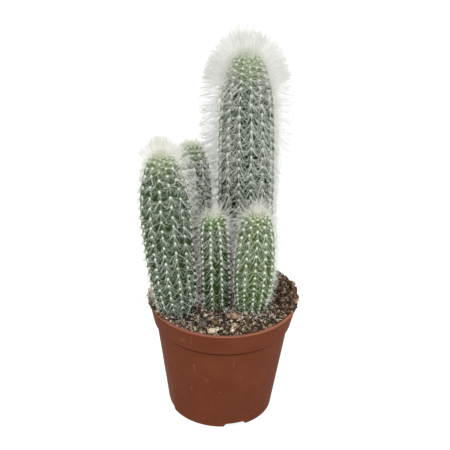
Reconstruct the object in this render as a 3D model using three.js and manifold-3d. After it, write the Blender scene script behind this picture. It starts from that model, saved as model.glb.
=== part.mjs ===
// A silver torch cactus in its plastic nursery pot: five ribbed, spined stems that stand in a gritty mix.
// Millimetres, +Z up. The pot's axis is the plant's own Z axis, and the surface that it stands on is z = 0.
// The whole plant is moved sideways at the end, so that the origin is the middle of its footprint.
import * as THREE from "three";
import { mergeVertices } from "three/addons/utils/BufferGeometryUtils.js";
import Module from "manifold-3d";

const wasm = await Module();
wasm.setup();

// Clearance between solids that touch on the real plant, and the wider one where rounds with different
// numbers of sides face each other.
const GAP = 0.3;
const WIDE_GAP = 1.5 * GAP;

// Pot: a thin moulded shell. Radii are of the outside.
const POT = {
  height: 86.5,
  lipRadius: 52.5,
  lipHeight: 1.3,
  bandTopRadius: 51.8,
  bandBottomRadius: 48.3,
  bandHeight: 17,
  wallTopRadius: 46.7,
  footRadius: 37,
  wall: 1.2,
  footWidth: 1.5,
  floorUnderside: 2.9,
  floorThickness: 1.3,
  segments: 48,
};
// Arched notches in the foot ring, which let water out. The first is right of the middle of the front.
// arch is half the outline of one, as shares of its half width and of its height.
const NOTCH = {
  count: 4,
  firstDeg: -72.5,
  spanDeg: 25,
  height: 2.4,
  depth: 9,
  arch: [[1, 0], [0.84, 0.8], [0.68, 1]],
};
// Drain holes in the floor: a ring of them and one in the middle.
const DRAIN = { count: 4, radius: 4.5, ringRadius: 25, firstDeg: -27.5, sides: 14 };

// Potting mix: level of its top beside the lip, its rise towards the stems and towards the back right.
// grit is how far its points go up and down, and aside is how far they go sideways, as a share of their
// spacing.
const MIX = { level: 85.2, heap: 1.2, rise: 1.5, riseDeg: 35, grit: 1.1, aside: 0.25, rings: 11, seed: 7 };
// Coarse grains that stand out of the mix, with their clearance from the stems and from each other.
const GRAINS = { count: 20, smallest: 1.4, largest: 2.6, fromStems: 1.5, apart: 0.4, raised: 0.15, seed: 21 };
const GRAIN_SHAPE = { size: [2, 1.7, 1.5], uneven: 0.35 };

// The stems leave the mix at this height on their axes. Their root ends go down from there.
const STEM_LEVEL = 86;
const ROOT = { shoulder: 5, depth: 23, shoulderShare: 0.86, endShare: 0.36 };
// The hole for a root end goes on above the mix to this height.
const HOLE = { sides: 16, above: 8 };

// Each stem's axis runs from foot to tip, drawn towards bend. outline holds the crest radius at each
// height along the axis. reach and stand are the length of its spines and their angle to the skin, at
// the foot and near the tip, and crown is the length of the tuft on the tip.
const STEMS = [
  {
    name: "stem_tall",
    foot: [15.2, 23.6],
    bend: [14.6, 24.2, 170],
    tip: [11.7, 24.2, 256],
    outline: [[0, 17.2], [25, 18], [64, 18.4], [108, 18.2], [134, 17.2], [149, 15.2], [162, 11.6], [168, 7]],
    ribs: 15,
    rows: 14,
    reach: [8, 14],
    stand: [30, 60],
    crown: 17,
    green: 0x5d7a5a,
    seed: 101,
  },
  {
    name: "stem_left",
    foot: [-30.5, -14.6],
    bend: [-37.6, -13.4, 128],
    tip: [-42.7, -12, 197.5],
    outline: [
      [0, 11.7],
      [13, 13.8],
      [28, 15],
      [46, 15.6],
      [70, 16.2],
      [88, 14.9],
      [98, 13],
      [107, 10],
      [111, 6.6],
    ],
    ribs: 14,
    rows: 9,
    reach: [7, 9.5],
    stand: [17, 38],
    crown: 14,
    green: 0x5f7b55,
    seed: 202,
  },
  {
    name: "stem_back",
    foot: [-17, 14.6],
    bend: [-20, 19, 140],
    tip: [-25, 23, 191],
    outline: [[0, 9.8], [22, 11.3], [60, 12], [78, 11.8], [89, 11.2], [98, 9.5], [103.5, 5.8]],
    ribs: 12,
    rows: 9,
    reach: [7, 10],
    stand: [28, 46],
    crown: 13,
    green: 0x617c5a,
    seed: 303,
  },
  {
    name: "stem_centre",
    foot: [-4.6, -10.2],
    bend: [-6, -15, 125],
    tip: [-7.9, -19, 158.5],
    outline: [[0, 9.6], [22, 9.8], [48, 9.5], [61, 9.1], [69, 7.9], [72.4, 5.4]],
    ribs: 8,
    rows: 9,
    reach: [6.5, 8],
    stand: [28, 42],
    crown: 10,
    green: 0x5c7f46,
    seed: 404,
  },
  {
    name: "stem_right",
    foot: [19.4, -13.8],
    bend: [20.6, -15.6, 120],
    tip: [21, -17.4, 160],
    outline: [[0, 8.9], [13, 11.2], [26, 12.8], [38, 13.2], [54, 12.4], [65, 10.8], [70.5, 8.6], [73.3, 5.4]],
    ribs: 11,
    rows: 8,
    reach: [7, 9],
    stand: [28, 44],
    crown: 11,
    green: 0x5c7f46,
    seed: 505,
  },
];
// Depth of the furrows between the ribs, as a share of the crest radius.
const FURROW = 0.1;
// Areoles, the felt pads on the ribs: half their height and width, and how far they are raised. Where
// they stand close, mostHeight is the share of their spacing that half a height takes.
const AREOLE = {
  halfHeight: 1,
  halfWidth: 0.85,
  raised: 0.75,
  mostHeight: 0.28,
  firstFromMix: 6,
  lastFromTip: 6,
};
// Spines are drawn out of the four faces of each pad. Each is drawn again, lower and shorter, while it
// comes too near another spine, another stem, the mix or the pot.
const SPINE = {
  twistDeg: 19,
  swayDeg: 12,
  uneven: 0.15,
  tries: 30,
  leastStand: 0.35,
  leastLength: 0.4,
  rootHalfWidth: 0.5,
  apart: 0.25,
  fromPads: 1.6,
  lowest: 90,
  longest: 18,
};
// How far the spines of the tuft lean out from the axis, in turn.
const TUFT = { ringFromTip: 2, openDeg: [13, 32] };

// Loose pieces that lie on the mix: middle, size, and turn about Z and tilt in degrees.
const PIECE_UNEVEN = 0.2;
const CHIP = { corners: 9, uneven: 0.16, bevelShare: 0.22 };
const PIECES = [
  { name: "bark_chip", at: [7.4, -28.4], size: [9.2, 6, 2.6], turn: 12, tilt: 9, sunk: 0.2, seed: 3 },
  { name: "grey_stone", at: [-13, -37.6], size: [6.4, 6, 4.8], turn: 30, tilt: 6, sunk: 0.8, seed: 4 },
  { name: "pumice_lump", at: [-7.2, -44.6], size: [6.4, 4.6, 4], turn: 8, tilt: 5, sunk: 0.7, seed: 5 },
  { name: "brown_pebble", at: [-5.2, -35.4], size: [4.6, 4.4, 3.6], turn: 50, tilt: 4, sunk: 0.7, seed: 6 },
  { name: "cream_pebble", at: [7.8, -37.8], size: [5.4, 3.8, 3.4], turn: -15, tilt: 4, sunk: 0.7, seed: 8 },
];

const MATERIALS = {
  pot: new THREE.MeshStandardMaterial({ color: 0x75402f, roughness: 0.5, metalness: 0 }),
  mix: new THREE.MeshStandardMaterial({ color: 0x4a3a2e, roughness: 0.95, metalness: 0 }),
  bark_chip: new THREE.MeshStandardMaterial({ color: 0x9a6c4e, roughness: 0.9, metalness: 0 }),
  grey_stone: new THREE.MeshStandardMaterial({ color: 0x77706c, roughness: 0.85, metalness: 0 }),
  pumice_lump: new THREE.MeshStandardMaterial({ color: 0xcdbb98, roughness: 0.95, metalness: 0 }),
  brown_pebble: new THREE.MeshStandardMaterial({ color: 0x7d5a41, roughness: 0.85, metalness: 0 }),
  cream_pebble: new THREE.MeshStandardMaterial({ color: 0xc2a888, roughness: 0.85, metalness: 0 }),
};

const radians = THREE.MathUtils.degToRad;
const lerp = THREE.MathUtils.lerp;

// A repeatable draw of numbers from 0 to 1.
function seeded(seed) {
  let state = seed >>> 0;
  return () => {
    state = (state + 0x6d2b79f5) >>> 0;
    let t = state;
    t = Math.imul(t ^ (t >>> 15), t | 1);
    t ^= t + Math.imul(t ^ (t >>> 7), t | 61);
    return ((t ^ (t >>> 14)) >>> 0) / 4294967296;
  };
}

// A closed geometry as a solid that can be joined and cut.
function toSolid(geometry) {
  const bare = geometry.clone();
  bare.deleteAttribute("normal");
  bare.deleteAttribute("uv");
  const merged = mergeVertices(bare, 1e-4);
  const mesh = new wasm.Mesh({
    numProp: 3,
    vertProperties: new Float32Array(merged.attributes.position.array),
    triVerts: new Uint32Array(merged.index.array),
  });
  return new wasm.Manifold(mesh);
}

// The largest body of a solid, as a geometry. Scraps that a cut has left loose are dropped.
function toGeometry(solid) {
  const bodies = solid.decompose().sort((a, b) => b.volume() - a.volume());
  const mesh = bodies[0].getMesh();
  const geometry = new THREE.BufferGeometry();
  geometry.setAttribute("position", new THREE.BufferAttribute(new Float32Array(mesh.vertProperties), 3));
  geometry.setIndex(new THREE.BufferAttribute(new Uint32Array(mesh.triVerts), 1));
  geometry.computeVertexNormals();
  return geometry;
}

function geometryOf(vertices, faces) {
  const geometry = new THREE.BufferGeometry();
  const coordinates = vertices.flatMap((v) => v.toArray());
  geometry.setAttribute("position", new THREE.Float32BufferAttribute(coordinates, 3));
  geometry.setIndex(faces.flat());
  geometry.computeVertexNormals();
  return geometry;
}

// A profile of [radius, height] turned about Z.
function turned(profile, segments) {
  const points = profile.map(([radius, height]) => new THREE.Vector2(radius, height));
  return new THREE.LatheGeometry(points, segments).rotateX(Math.PI / 2);
}

// Pot

const bandBottom = POT.height - POT.bandHeight;
const ledge = bandBottom + POT.wall;
const floorTop = POT.floorUnderside + POT.floorThickness;

// The radius of the tapered wall's outside at a height below the band.
function wallRadius(height) {
  return lerp(POT.footRadius, POT.wallTopRadius, height / bandBottom);
}

function potGeometry() {
  const profile = [
    [0, POT.floorUnderside],
    [POT.footRadius - POT.footWidth, POT.floorUnderside],
    [POT.footRadius - POT.footWidth, 0],
    [POT.footRadius, 0],
    [POT.wallTopRadius, bandBottom],
    [POT.bandBottomRadius, bandBottom],
    [POT.bandTopRadius, POT.height - POT.lipHeight],
    [POT.lipRadius, POT.height - POT.lipHeight],
    [POT.lipRadius, POT.height],
    [POT.bandTopRadius - POT.wall, POT.height],
    [POT.bandBottomRadius - POT.wall, ledge],
    [POT.wallTopRadius - POT.wall, ledge],
    [wallRadius(floorTop) - POT.wall, floorTop],
    [0, floorTop],
  ];
  let shell = toSolid(turned(profile, POT.segments));
  for (let i = 0; i < NOTCH.count; i++) {
    shell = shell.subtract(toSolid(notchGeometry(radians(NOTCH.firstDeg + (i * 360) / NOTCH.count))));
  }
  shell = shell.subtract(toSolid(drainGeometry(0, 0)));
  for (let i = 0; i < DRAIN.count; i++) {
    const angle = radians(DRAIN.firstDeg + (i * 360) / DRAIN.count);
    const [x, y] = [DRAIN.ringRadius * Math.cos(angle), DRAIN.ringRadius * Math.sin(angle)];
    shell = shell.subtract(toSolid(drainGeometry(x, y)));
  }
  return toGeometry(shell);
}

// The space of one notch: an arch with sloping ends, which runs radially through the foot ring.
function notchGeometry(angle) {
  const half = POT.footRadius * Math.sin(radians(NOTCH.spanDeg / 2));
  const right = NOTCH.arch.map(([across, up]) => new THREE.Vector2(half * across, NOTCH.height * up));
  const left = right.map(({ x, y }) => new THREE.Vector2(-x, y)).reverse();
  const below = [new THREE.Vector2(-half, -1), new THREE.Vector2(half, -1)];
  const outline = new THREE.Shape([...below, ...right, ...left]);
  const space = new THREE.ExtrudeGeometry(outline, { depth: NOTCH.depth, bevelEnabled: false });
  space.rotateX(Math.PI / 2);
  space.translate(0, POT.footRadius + NOTCH.depth / 2, 0);
  return space.rotateZ(angle - Math.PI / 2);
}

function drainGeometry(x, y) {
  const hole = new THREE.CylinderGeometry(DRAIN.radius, DRAIN.radius, POT.floorThickness * 3, DRAIN.sides);
  return hole.rotateX(Math.PI / 2).translate(x, y, POT.floorUnderside + POT.floorThickness / 2);
}

// Stems: where their skin is

// The surface of one stem. Along it, place is a share from 0 at the mix to 1 at the tip, measured over
// the skin, and angle turns about the axis.
class Skin {
  constructor(stem) {
    this.axis = new THREE.QuadraticBezierCurve3(
      new THREE.Vector3(...stem.foot, STEM_LEVEL),
      new THREE.Vector3(...stem.bend),
      new THREE.Vector3(...stem.tip),
    );
    this.height = this.axis.getLength();
    const points = [...stem.outline, [this.height, 0]].map(([h, r]) => new THREE.Vector2(h, r));
    this.outline = new THREE.SplineCurve(points);
    this.length = this.outline.getLength();
    this.beads = this.filledWith(100);
  }

  // Balls along the axis that together fill the stem, to measure distances from its skin.
  filledWith(count) {
    return Array.from({ length: count }, (_, i) => {
      const { height, radius } = this.at((i + 0.5) / count);
      return { centre: this.along(height).centre, radius };
    });
  }

  at(place) {
    const point = this.outline.getPointAt(THREE.MathUtils.clamp(place, 0, 1));
    const slope = this.outline.getTangentAt(THREE.MathUtils.clamp(place, 0, 1));
    return { height: point.x, radius: point.y, slope };
  }

  // The axis and its frame at a height. Below the mix the axis runs straight on.
  along(height) {
    const share = THREE.MathUtils.clamp(height / this.height, 0, 1);
    const forward = this.axis.getTangentAt(share);
    const centre = this.axis.getPointAt(share).addScaledVector(forward, Math.min(height, 0));
    const side = new THREE.Vector3(1, 0, 0);
    side.addScaledVector(forward, -side.dot(forward)).normalize();
    return { centre, forward, side, back: new THREE.Vector3().crossVectors(forward, side) };
  }

  outward(frame, angle) {
    const across = frame.side.clone().multiplyScalar(Math.cos(angle));
    return across.addScaledVector(frame.back, Math.sin(angle));
  }

  // A point on the skin, sunk below the crests, with its outward normal and the way up the rib.
  point(place, angle, sunk = 0) {
    const { height, radius, slope } = this.at(place);
    const frame = this.along(height);
    const radial = this.outward(frame, angle);
    const up = frame.forward.clone().multiplyScalar(slope.x).addScaledVector(radial, slope.y);
    const normal = radial.clone().multiplyScalar(slope.x).addScaledVector(frame.forward, -slope.y);
    const position = frame.centre.clone().addScaledVector(radial, radius * (1 - sunk));
    return { position, normal, up, radius };
  }

  // How far a point is outside the skin.
  distance(point) {
    return Math.min(...this.beads.map((bead) => bead.centre.distanceTo(point) - bead.radius));
  }
}

for (const stem of STEMS) {
  stem.skin = new Skin(stem);
}

// The closest distance between two spines, less their own thickness there.
function clearance(a, b) {
  const [d1, d2] = [a.tip.clone().sub(a.root), b.tip.clone().sub(b.root)];
  const r = a.root.clone().sub(b.root);
  const [aa, bb, ab] = [d1.dot(d1), d2.dot(d2), d1.dot(d2)];
  const [ar, br] = [d1.dot(r), d2.dot(r)];
  const even = aa * bb - ab * ab;
  const clamp = (value) => THREE.MathUtils.clamp(value, 0, 1);
  let s = even > 1e-6 ? clamp((ab * br - ar * bb) / even) : 0;
  const t = clamp((ab * s + br) / bb);
  s = clamp((ab * t - ar) / aa);
  const gap = a.root.clone().addScaledVector(d1, s).distanceTo(b.root.clone().addScaledVector(d2, t));
  return gap - SPINE.rootHalfWidth * (2 - s - t);
}

// Whether a spine keeps clear of the mix, the pot, its own stem, the other stems and the other spines.
function isClear(spine, stem, spines, pads) {
  for (const share of [0.4, 0.7, 1]) {
    const point = spine.root.clone().lerp(spine.tip, share);
    if (point.z < SPINE.lowest) return false;
    const own = stem.skin.distance(point);
    if (own < SPINE.apart) return false;
    const others = STEMS.filter((other) => other !== stem);
    if (others.some((other) => own + AREOLE.raised + SPINE.apart > other.skin.distance(point))) return false;
  }
  const spike = new THREE.Line3(spine.root, spine.tip);
  const foot = new THREE.Vector3();
  for (const pad of pads) {
    if (pad === spine.pad || pad.distanceTo(spine.root) > SPINE.longest + SPINE.fromPads) continue;
    if (spike.closestPointToPoint(pad, true, foot).distanceTo(pad) < SPINE.fromPads) return false;
  }
  return !spines.some(
    (other) =>
      other.pad !== spine.pad &&
      other.root.distanceTo(spine.root) < 2 * SPINE.longest &&
      clearance(spine, other) < SPINE.apart,
  );
}

// Draws a spine from the centre of one face of a pad, and keeps the first draw that is clear. It goes
// along heading, which turns in the skin's plane from the rib's side, and stands off the skin by an angle.
function drawSpine(centre, pad, stem, lean, spines, pads, random) {
  const uneven = () => 1 + SPINE.uneven * (2 * random() - 1);
  for (let i = 0; i < SPINE.tries; i++) {
    const fade = 1 - i / SPINE.tries;
    const heading = lean.heading + radians(SPINE.swayDeg) * (2 * random() - 1);
    const stand = radians(lean.stand * uneven() * lerp(SPINE.leastStand, 1, fade));
    const length = lean.length * uneven() * lerp(SPINE.leastLength, 1, fade);
    const way = lean.across.clone().multiplyScalar(Math.cos(heading) * Math.cos(stand));
    way.addScaledVector(lean.up, Math.sin(heading) * Math.cos(stand));
    way.addScaledVector(lean.normal, Math.sin(stand));
    const spine = { root: centre, tip: centre.clone().addScaledVector(way, length), pad };
    if (isClear(spine, stem, spines, pads)) return spine;
  }
  return null;
}

// One stem as a single skin: rows of pads on the crests with furrows between them, a plain root end
// below, a tuft on the tip, and spines drawn out of the faces of the pads.
function stemGeometry(stem) {
  const { skin, ribs, rows } = stem;
  const random = seeded(stem.seed);
  const vertices = [];
  const faces = [];
  const add = (point) => vertices.push(point.clone()) - 1;
  const wrap = (j) => (j + ribs) % ribs;
  const crestAngle = (j) => (2 * Math.PI * j) / ribs;
  const halfRib = Math.PI / ribs;
  const stagger = (j) => (wrap(j) % 2) / 2;
  const pitch = (skin.length - AREOLE.firstFromMix - AREOLE.lastFromTip) / (rows - 0.5);
  const placeOf = (row) => (AREOLE.firstFromMix + row * pitch) / skin.length;

  // Root end: rings of a plain tapered plug, up to the ribbed ring at the mix.
  const rootRing = (height, share) =>
    Array.from({ length: 2 * ribs }, (_, i) => {
      const frame = skin.along(height);
      const radial = skin.outward(frame, i * halfRib);
      return add(frame.centre.addScaledVector(radial, stem.outline[0][1] * share));
    });
  const endCentre = add(skin.along(-ROOT.depth).centre);
  const rings = [
    rootRing(-ROOT.depth, ROOT.endShare),
    rootRing(-ROOT.shoulder, ROOT.shoulderShare),
    Array.from({ length: 2 * ribs }, (_, i) => add(skin.point(0, i * halfRib, i % 2 ? FURROW : 0).position)),
  ];
  for (let i = 0; i < 2 * ribs; i++) {
    const next = (i + 1) % (2 * ribs);
    faces.push([endCentre, rings[0][next], rings[0][i]]);
    for (let k = 0; k < 2; k++) {
      faces.push([rings[k][i], rings[k][next], rings[k + 1][next]]);
      faces.push([rings[k][i], rings[k + 1][next], rings[k + 1][i]]);
    }
  }

  // Pads on the crests and points in the furrows, row by row.
  const pads = [];
  const grid = [];
  for (let k = 0; k < rows; k++) {
    grid.push([]);
    for (let j = 0; j < ribs; j++) {
      const place = placeOf(k + stagger(j));
      const crest = skin.point(place, crestAngle(j));
      const width = Math.min(AREOLE.halfWidth, (0.5 * Math.PI * crest.radius) / ribs);
      const height = Math.min(AREOLE.halfHeight, AREOLE.mostHeight * pitch);
      const sides = [-1, 1].map((turn) => {
        const furrow = skin.point(place, crestAngle(j) + turn * halfRib, FURROW).position;
        return add(crest.position.clone().addScaledVector(furrow.sub(crest.position).normalize(), width));
      });
      const furrowPlace = placeOf(k + (stagger(j) + stagger(j + 1)) / 2);
      grid[k].push({
        place,
        crest,
        left: sides[0],
        right: sides[1],
        top: add(crest.position.clone().addScaledVector(crest.up, height)),
        bottom: add(crest.position.clone().addScaledVector(crest.up, -height)),
        middle: add(crest.position.clone().addScaledVector(crest.normal, AREOLE.raised)),
        furrow: add(skin.point(furrowPlace, crestAngle(j) + halfRib, FURROW).position),
      });
      pads.push(crest.position);
    }
  }

  // Skin between the pads, on the left and right flank of each rib.
  for (let j = 0; j < ribs; j++) {
    const [crest, leftFurrow, rightFurrow] = [2 * j, wrap(j - 1) * 2 + 1, 2 * j + 1].map((i) => rings[2][i]);
    const first = grid[0][j];
    const firstLeft = grid[0][wrap(j - 1)].furrow;
    faces.push([crest, rightFurrow, first.furrow], [crest, first.furrow, first.right]);
    faces.push([crest, first.right, first.bottom], [crest, first.bottom, first.left]);
    faces.push([crest, first.left, firstLeft], [crest, firstLeft, leftFurrow]);
    for (let k = 0; k + 1 < rows; k++) {
      const [low, high] = [grid[k][j], grid[k + 1][j]];
      const [lowLeft, highLeft] = [grid[k][wrap(j - 1)].furrow, grid[k + 1][wrap(j - 1)].furrow];
      faces.push([low.right, low.furrow, high.furrow], [low.right, high.furrow, high.right]);
      faces.push([low.right, high.right, high.bottom], [low.right, high.bottom, low.top]);
      faces.push([highLeft, lowLeft, low.left], [highLeft, low.left, high.left]);
      faces.push([low.left, high.bottom, high.left], [low.left, low.top, high.bottom]);
    }
  }

  // Tip: the ribs run together round a small cap.
  const capPlace = 1 - TUFT.ringFromTip / skin.length;
  const cap = Array.from({ length: ribs }, (_, j) => add(skin.point(capPlace, crestAngle(j)).position));
  const tip = add(skin.along(skin.height).centre);
  for (let j = 0; j < ribs; j++) {
    const last = grid[rows - 1][j];
    const lastLeft = grid[rows - 1][wrap(j - 1)].furrow;
    faces.push([last.right, last.furrow, cap[j]], [last.right, cap[j], last.top]);
    faces.push([lastLeft, last.left, cap[j]], [last.left, last.top, cap[j]]);
    faces.push([last.furrow, cap[wrap(j + 1)], cap[j]]);
  }

  // Spines. The tuft comes first, then the pads from the tip down.
  const spines = [];
  const centreOf = (face) => {
    const sum = new THREE.Vector3();
    face.forEach((i) => sum.add(vertices[i]));
    return sum.divideScalar(3);
  };
  const drawOut = (face, pad, lean) => {
    const spine = drawSpine(centreOf(face), pad, stem, lean, spines, pads, random);
    if (!spine) {
      faces.push(face);
      return;
    }
    spines.push(spine);
    const point = add(spine.tip);
    const [a, b, c] = face;
    faces.push([a, b, point], [b, c, point], [c, a, point]);
  };
  const top = skin.along(skin.height);
  for (let j = 0; j < ribs; j++) {
    const middle = crestAngle(j) + halfRib;
    const across = skin.outward(top, middle);
    const up = new THREE.Vector3().crossVectors(top.forward, across);
    const stand = 90 - TUFT.openDeg[j % 2];
    const lean = { heading: 0, stand, length: stem.crown, across, up, normal: top.forward };
    drawOut([cap[j], cap[wrap(j + 1)], tip], vertices[tip], lean);
  }
  for (let k = rows - 1; k >= 0; k--) {
    for (const pad of grid[k]) {
      const { crest, place } = pad;
      const across = new THREE.Vector3().crossVectors(crest.up, crest.normal);
      const share = place ** 1.5;
      const length = lerp(stem.reach[0], stem.reach[1], share);
      const stand = lerp(stem.stand[0], stem.stand[1], share);
      const corners = [pad.right, pad.top, pad.left, pad.bottom];
      corners.forEach((corner, i) => {
        const heading = Math.PI / 4 + (i * Math.PI) / 2 + radians(SPINE.twistDeg);
        const face = [corner, corners[(i + 1) % 4], pad.middle];
        drawOut(face, crest.position, { heading, stand, length, across, up: crest.up, normal: crest.normal });
      });
    }
  }
  return geometryOf(vertices, faces);
}

// The plain hole that a stem's root end stands in, wider than it by the clearance all round. Its flat
// sides touch the round of that width.
function holeGeometry(stem) {
  const { skin } = stem;
  const foot = stem.outline[0][1];
  const flare = skin.outline.points[1];
  const radiusAbove = lerp(foot, flare.y, HOLE.above / flare.x);
  const profile = [
    [0, -ROOT.depth - GAP],
    [foot * ROOT.endShare + GAP, -ROOT.depth - GAP],
    [foot * ROOT.shoulderShare + GAP, -ROOT.shoulder],
    [foot + GAP, 0],
    [Math.max(foot, radiusAbove) + WIDE_GAP, HOLE.above],
    [0, HOLE.above],
  ];
  const frame = skin.along(0);
  const turn = new THREE.Matrix4().makeBasis(frame.side, frame.back, frame.forward).setPosition(frame.centre);
  const flats = 1 / Math.cos(Math.PI / HOLE.sides);
  return turned(profile, HOLE.sides).scale(flats, flats, 1).applyMatrix4(turn);
}

// Loose pieces on the mix

// The mix's smooth level, before its grit.
function mixLevel(x, y) {
  const way = radians(MIX.riseDeg);
  const share = Math.hypot(x, y) / POT.bandTopRadius;
  const rise = (MIX.rise * (x * Math.cos(way) + y * Math.sin(way))) / POT.bandTopRadius;
  return MIX.level + MIX.heap * (1 - share * share) + rise;
}

// A ball-like body of diameter 1 with its corners pushed in and out, stretched to the given size.
function lumpGeometry(ball, size, seed, uneven) {
  const random = seeded(seed);
  ball.deleteAttribute("normal");
  ball.deleteAttribute("uv");
  const merged = mergeVertices(ball, 1e-4);
  const position = merged.attributes.position;
  for (let i = 0; i < position.count; i++) {
    const push = 1 - uneven * random();
    position.setXYZ(i, position.getX(i) * push, position.getY(i) * push, position.getZ(i) * push);
  }
  merged.scale(...size);
  return merged;
}

// A flat chip: an uneven outline with bevelled edges.
function chipGeometry([length, width, thickness], seed) {
  const random = seeded(seed);
  const bevel = thickness * CHIP.bevelShare;
  const points = Array.from({ length: CHIP.corners }, (_, i) => {
    const angle = (2 * Math.PI * i) / CHIP.corners;
    const push = 1 - CHIP.uneven * random();
    const [x, y] = [(length / 2 - bevel) * Math.cos(angle), (width / 2 - bevel) * Math.sin(angle)];
    return new THREE.Vector2(x * push, y * push);
  });
  const depth = thickness - 2 * bevel;
  const bevelled = { depth, bevelThickness: bevel, bevelSize: bevel, bevelSegments: 1 };
  return new THREE.ExtrudeGeometry(new THREE.Shape(points), bevelled).translate(0, 0, -depth / 2);
}

function named(name, geometry, material) {
  const mesh = new THREE.Mesh(geometry, material);
  mesh.name = name;
  return mesh;
}

function looseMesh(piece) {
  const [x, y] = piece.at;
  const shape =
    piece.name === "bark_chip"
      ? chipGeometry(piece.size, piece.seed)
      : lumpGeometry(new THREE.DodecahedronGeometry(0.5), piece.size, piece.seed, PIECE_UNEVEN);
  const mesh = named(piece.name, shape, MATERIALS[piece.name]);
  mesh.position.set(x, y, mixLevel(x, y) + piece.size[2] / 2 - piece.sunk);
  mesh.rotation.set(radians(piece.tilt), radians(-piece.tilt), radians(piece.turn));
  mesh.updateMatrix();
  return mesh;
}

// The bed of a loose piece in the mix: the piece itself, larger by the clearance on every side.
function bedGeometry(mesh, size) {
  const grown = size.map((side) => (side + 2 * WIDE_GAP) / side);
  return mesh.geometry.clone().scale(...grown).applyMatrix4(mesh.matrix);
}

// Potting mix

// The radius of the mix inside the band at a height: the inside of the pot, less the clearance.
function mixRadius(height) {
  const share = (height - ledge) / (POT.height - ledge);
  return lerp(POT.bandBottomRadius, POT.bandTopRadius, share) - POT.wall - WIDE_GAP;
}

// The sides of the mix under its top edge, as radius and height. The first two points lie on the ledge
// that the step makes under the band.
const MIX_SIDES = [
  [mixRadius(ledge), ledge + GAP],
  [POT.wallTopRadius - POT.wall - WIDE_GAP, ledge + GAP],
  [wallRadius(floorTop) - POT.wall - WIDE_GAP, floorTop + GAP],
];

// A closed body with a gritty top: rings of points that grow by six a ring, each pushed aside and up or
// down by a seeded draw, over plain rings that follow the inside of the pot.
function mixGeometry(loose) {
  const random = seeded(MIX.seed);
  const vertices = [];
  const faces = [];
  const add = (x, y, z) => vertices.push(new THREE.Vector3(x, y, z)) - 1;
  const step = mixRadius(MIX.level) / MIX.rings;
  const rings = [[add(0, 0, mixLevel(0, 0))]];
  for (let k = 1; k <= MIX.rings; k++) {
    const edge = k === MIX.rings;
    const count = 6 * k;
    const aside = () => (edge ? 0 : MIX.aside * (2 * random() - 1));
    rings.push(
      Array.from({ length: count }, (_, i) => {
        const angle = (2 * Math.PI * (i + aside())) / count;
        let radius = step * (k + aside());
        const level = mixLevel(radius * Math.cos(angle), radius * Math.sin(angle));
        const grit = edge ? MIX.grit / 2 : MIX.grit;
        const height = level + grit * (2 * random() - 1);
        if (edge) radius = mixRadius(height);
        return add(radius * Math.cos(angle), radius * Math.sin(angle), height);
      }),
    );
  }
  for (let k = 1; k <= MIX.rings; k++) {
    const [inner, outer] = [rings[k - 1], rings[k]];
    for (let sector = 0; sector < 6; sector++) {
      for (let i = 0; i < k; i++) {
        const o = sector * k + i;
        const n = sector * (k - 1) + i;
        const innerHere = inner[n % inner.length];
        faces.push([innerHere, outer[o], outer[(o + 1) % outer.length]]);
        if (i < k - 1) faces.push([innerHere, outer[(o + 1) % outer.length], inner[(n + 1) % inner.length]]);
      }
    }
  }
  let above = rings[MIX.rings];
  for (const [radius, height] of MIX_SIDES) {
    const below = above.map((_, i) => {
      const angle = (2 * Math.PI * i) / above.length;
      return add(radius * Math.cos(angle), radius * Math.sin(angle), height);
    });
    for (let i = 0; i < above.length; i++) {
      const next = (i + 1) % above.length;
      faces.push([below[i], below[next], above[next]], [below[i], above[next], above[i]]);
    }
    above = below;
  }
  const centre = add(0, 0, floorTop + GAP);
  above.forEach((point, i) => faces.push([centre, above[(i + 1) % above.length], point]));

  let body = toSolid(geometryOf(vertices, faces));
  for (const grain of grains()) {
    body = body.add(toSolid(grain));
  }
  for (const stem of STEMS) {
    body = body.subtract(toSolid(holeGeometry(stem)));
  }
  loose.forEach((mesh, i) => {
    body = body.subtract(toSolid(bedGeometry(mesh, PIECES[i].size)));
  });
  return toGeometry(body);
}

// Coarse grains, half sunk in the mix, clear of the stems, of the loose pieces and of each other.
function grains() {
  const random = seeded(GRAINS.seed);
  const placed = [];
  const reach = mixRadius(MIX.level) - GRAINS.largest;
  while (placed.length < GRAINS.count) {
    const [angle, radius] = [2 * Math.PI * random(), reach * Math.sqrt(random())];
    const [x, y] = [radius * Math.cos(angle), radius * Math.sin(angle)];
    const size = lerp(GRAINS.smallest, GRAINS.largest, random() ** 2);
    const flat = new THREE.Vector2(x, y);
    const clearOf = (place, radius) => flat.distanceTo(new THREE.Vector2(...place)) > radius + size;
    const free =
      STEMS.every((stem) => clearOf(stem.foot, stem.outline[0][1] + GRAINS.fromStems)) &&
      PIECES.every((piece) => clearOf(piece.at, piece.size[0] / 2)) &&
      placed.every((grain) => clearOf(grain.flat.toArray(), grain.size + GRAINS.apart));
    if (free) placed.push({ flat, size, seed: 1 + Math.floor(1e6 * random()), turn: 2 * Math.PI * random() });
  }
  return placed.map(({ flat, size, seed, turn }) => {
    const sides = GRAIN_SHAPE.size.map((side) => side * size);
    const grain = lumpGeometry(new THREE.IcosahedronGeometry(0.5), sides, seed, GRAIN_SHAPE.uneven);
    return grain.rotateZ(turn).translate(flat.x, flat.y, mixLevel(flat.x, flat.y) + GRAINS.raised * size);
  });
}

// Assembly

const plant = new THREE.Group();
const loose = PIECES.map(looseMesh);
plant.add(named("pot", potGeometry(), MATERIALS.pot));
plant.add(named("soil", mixGeometry(loose), MATERIALS.mix));
for (const stem of STEMS) {
  const skinMaterial = new THREE.MeshStandardMaterial({ color: stem.green, roughness: 0.7, metalness: 0 });
  plant.add(named(stem.name, stemGeometry(stem), skinMaterial));
}
plant.add(...loose);

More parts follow.
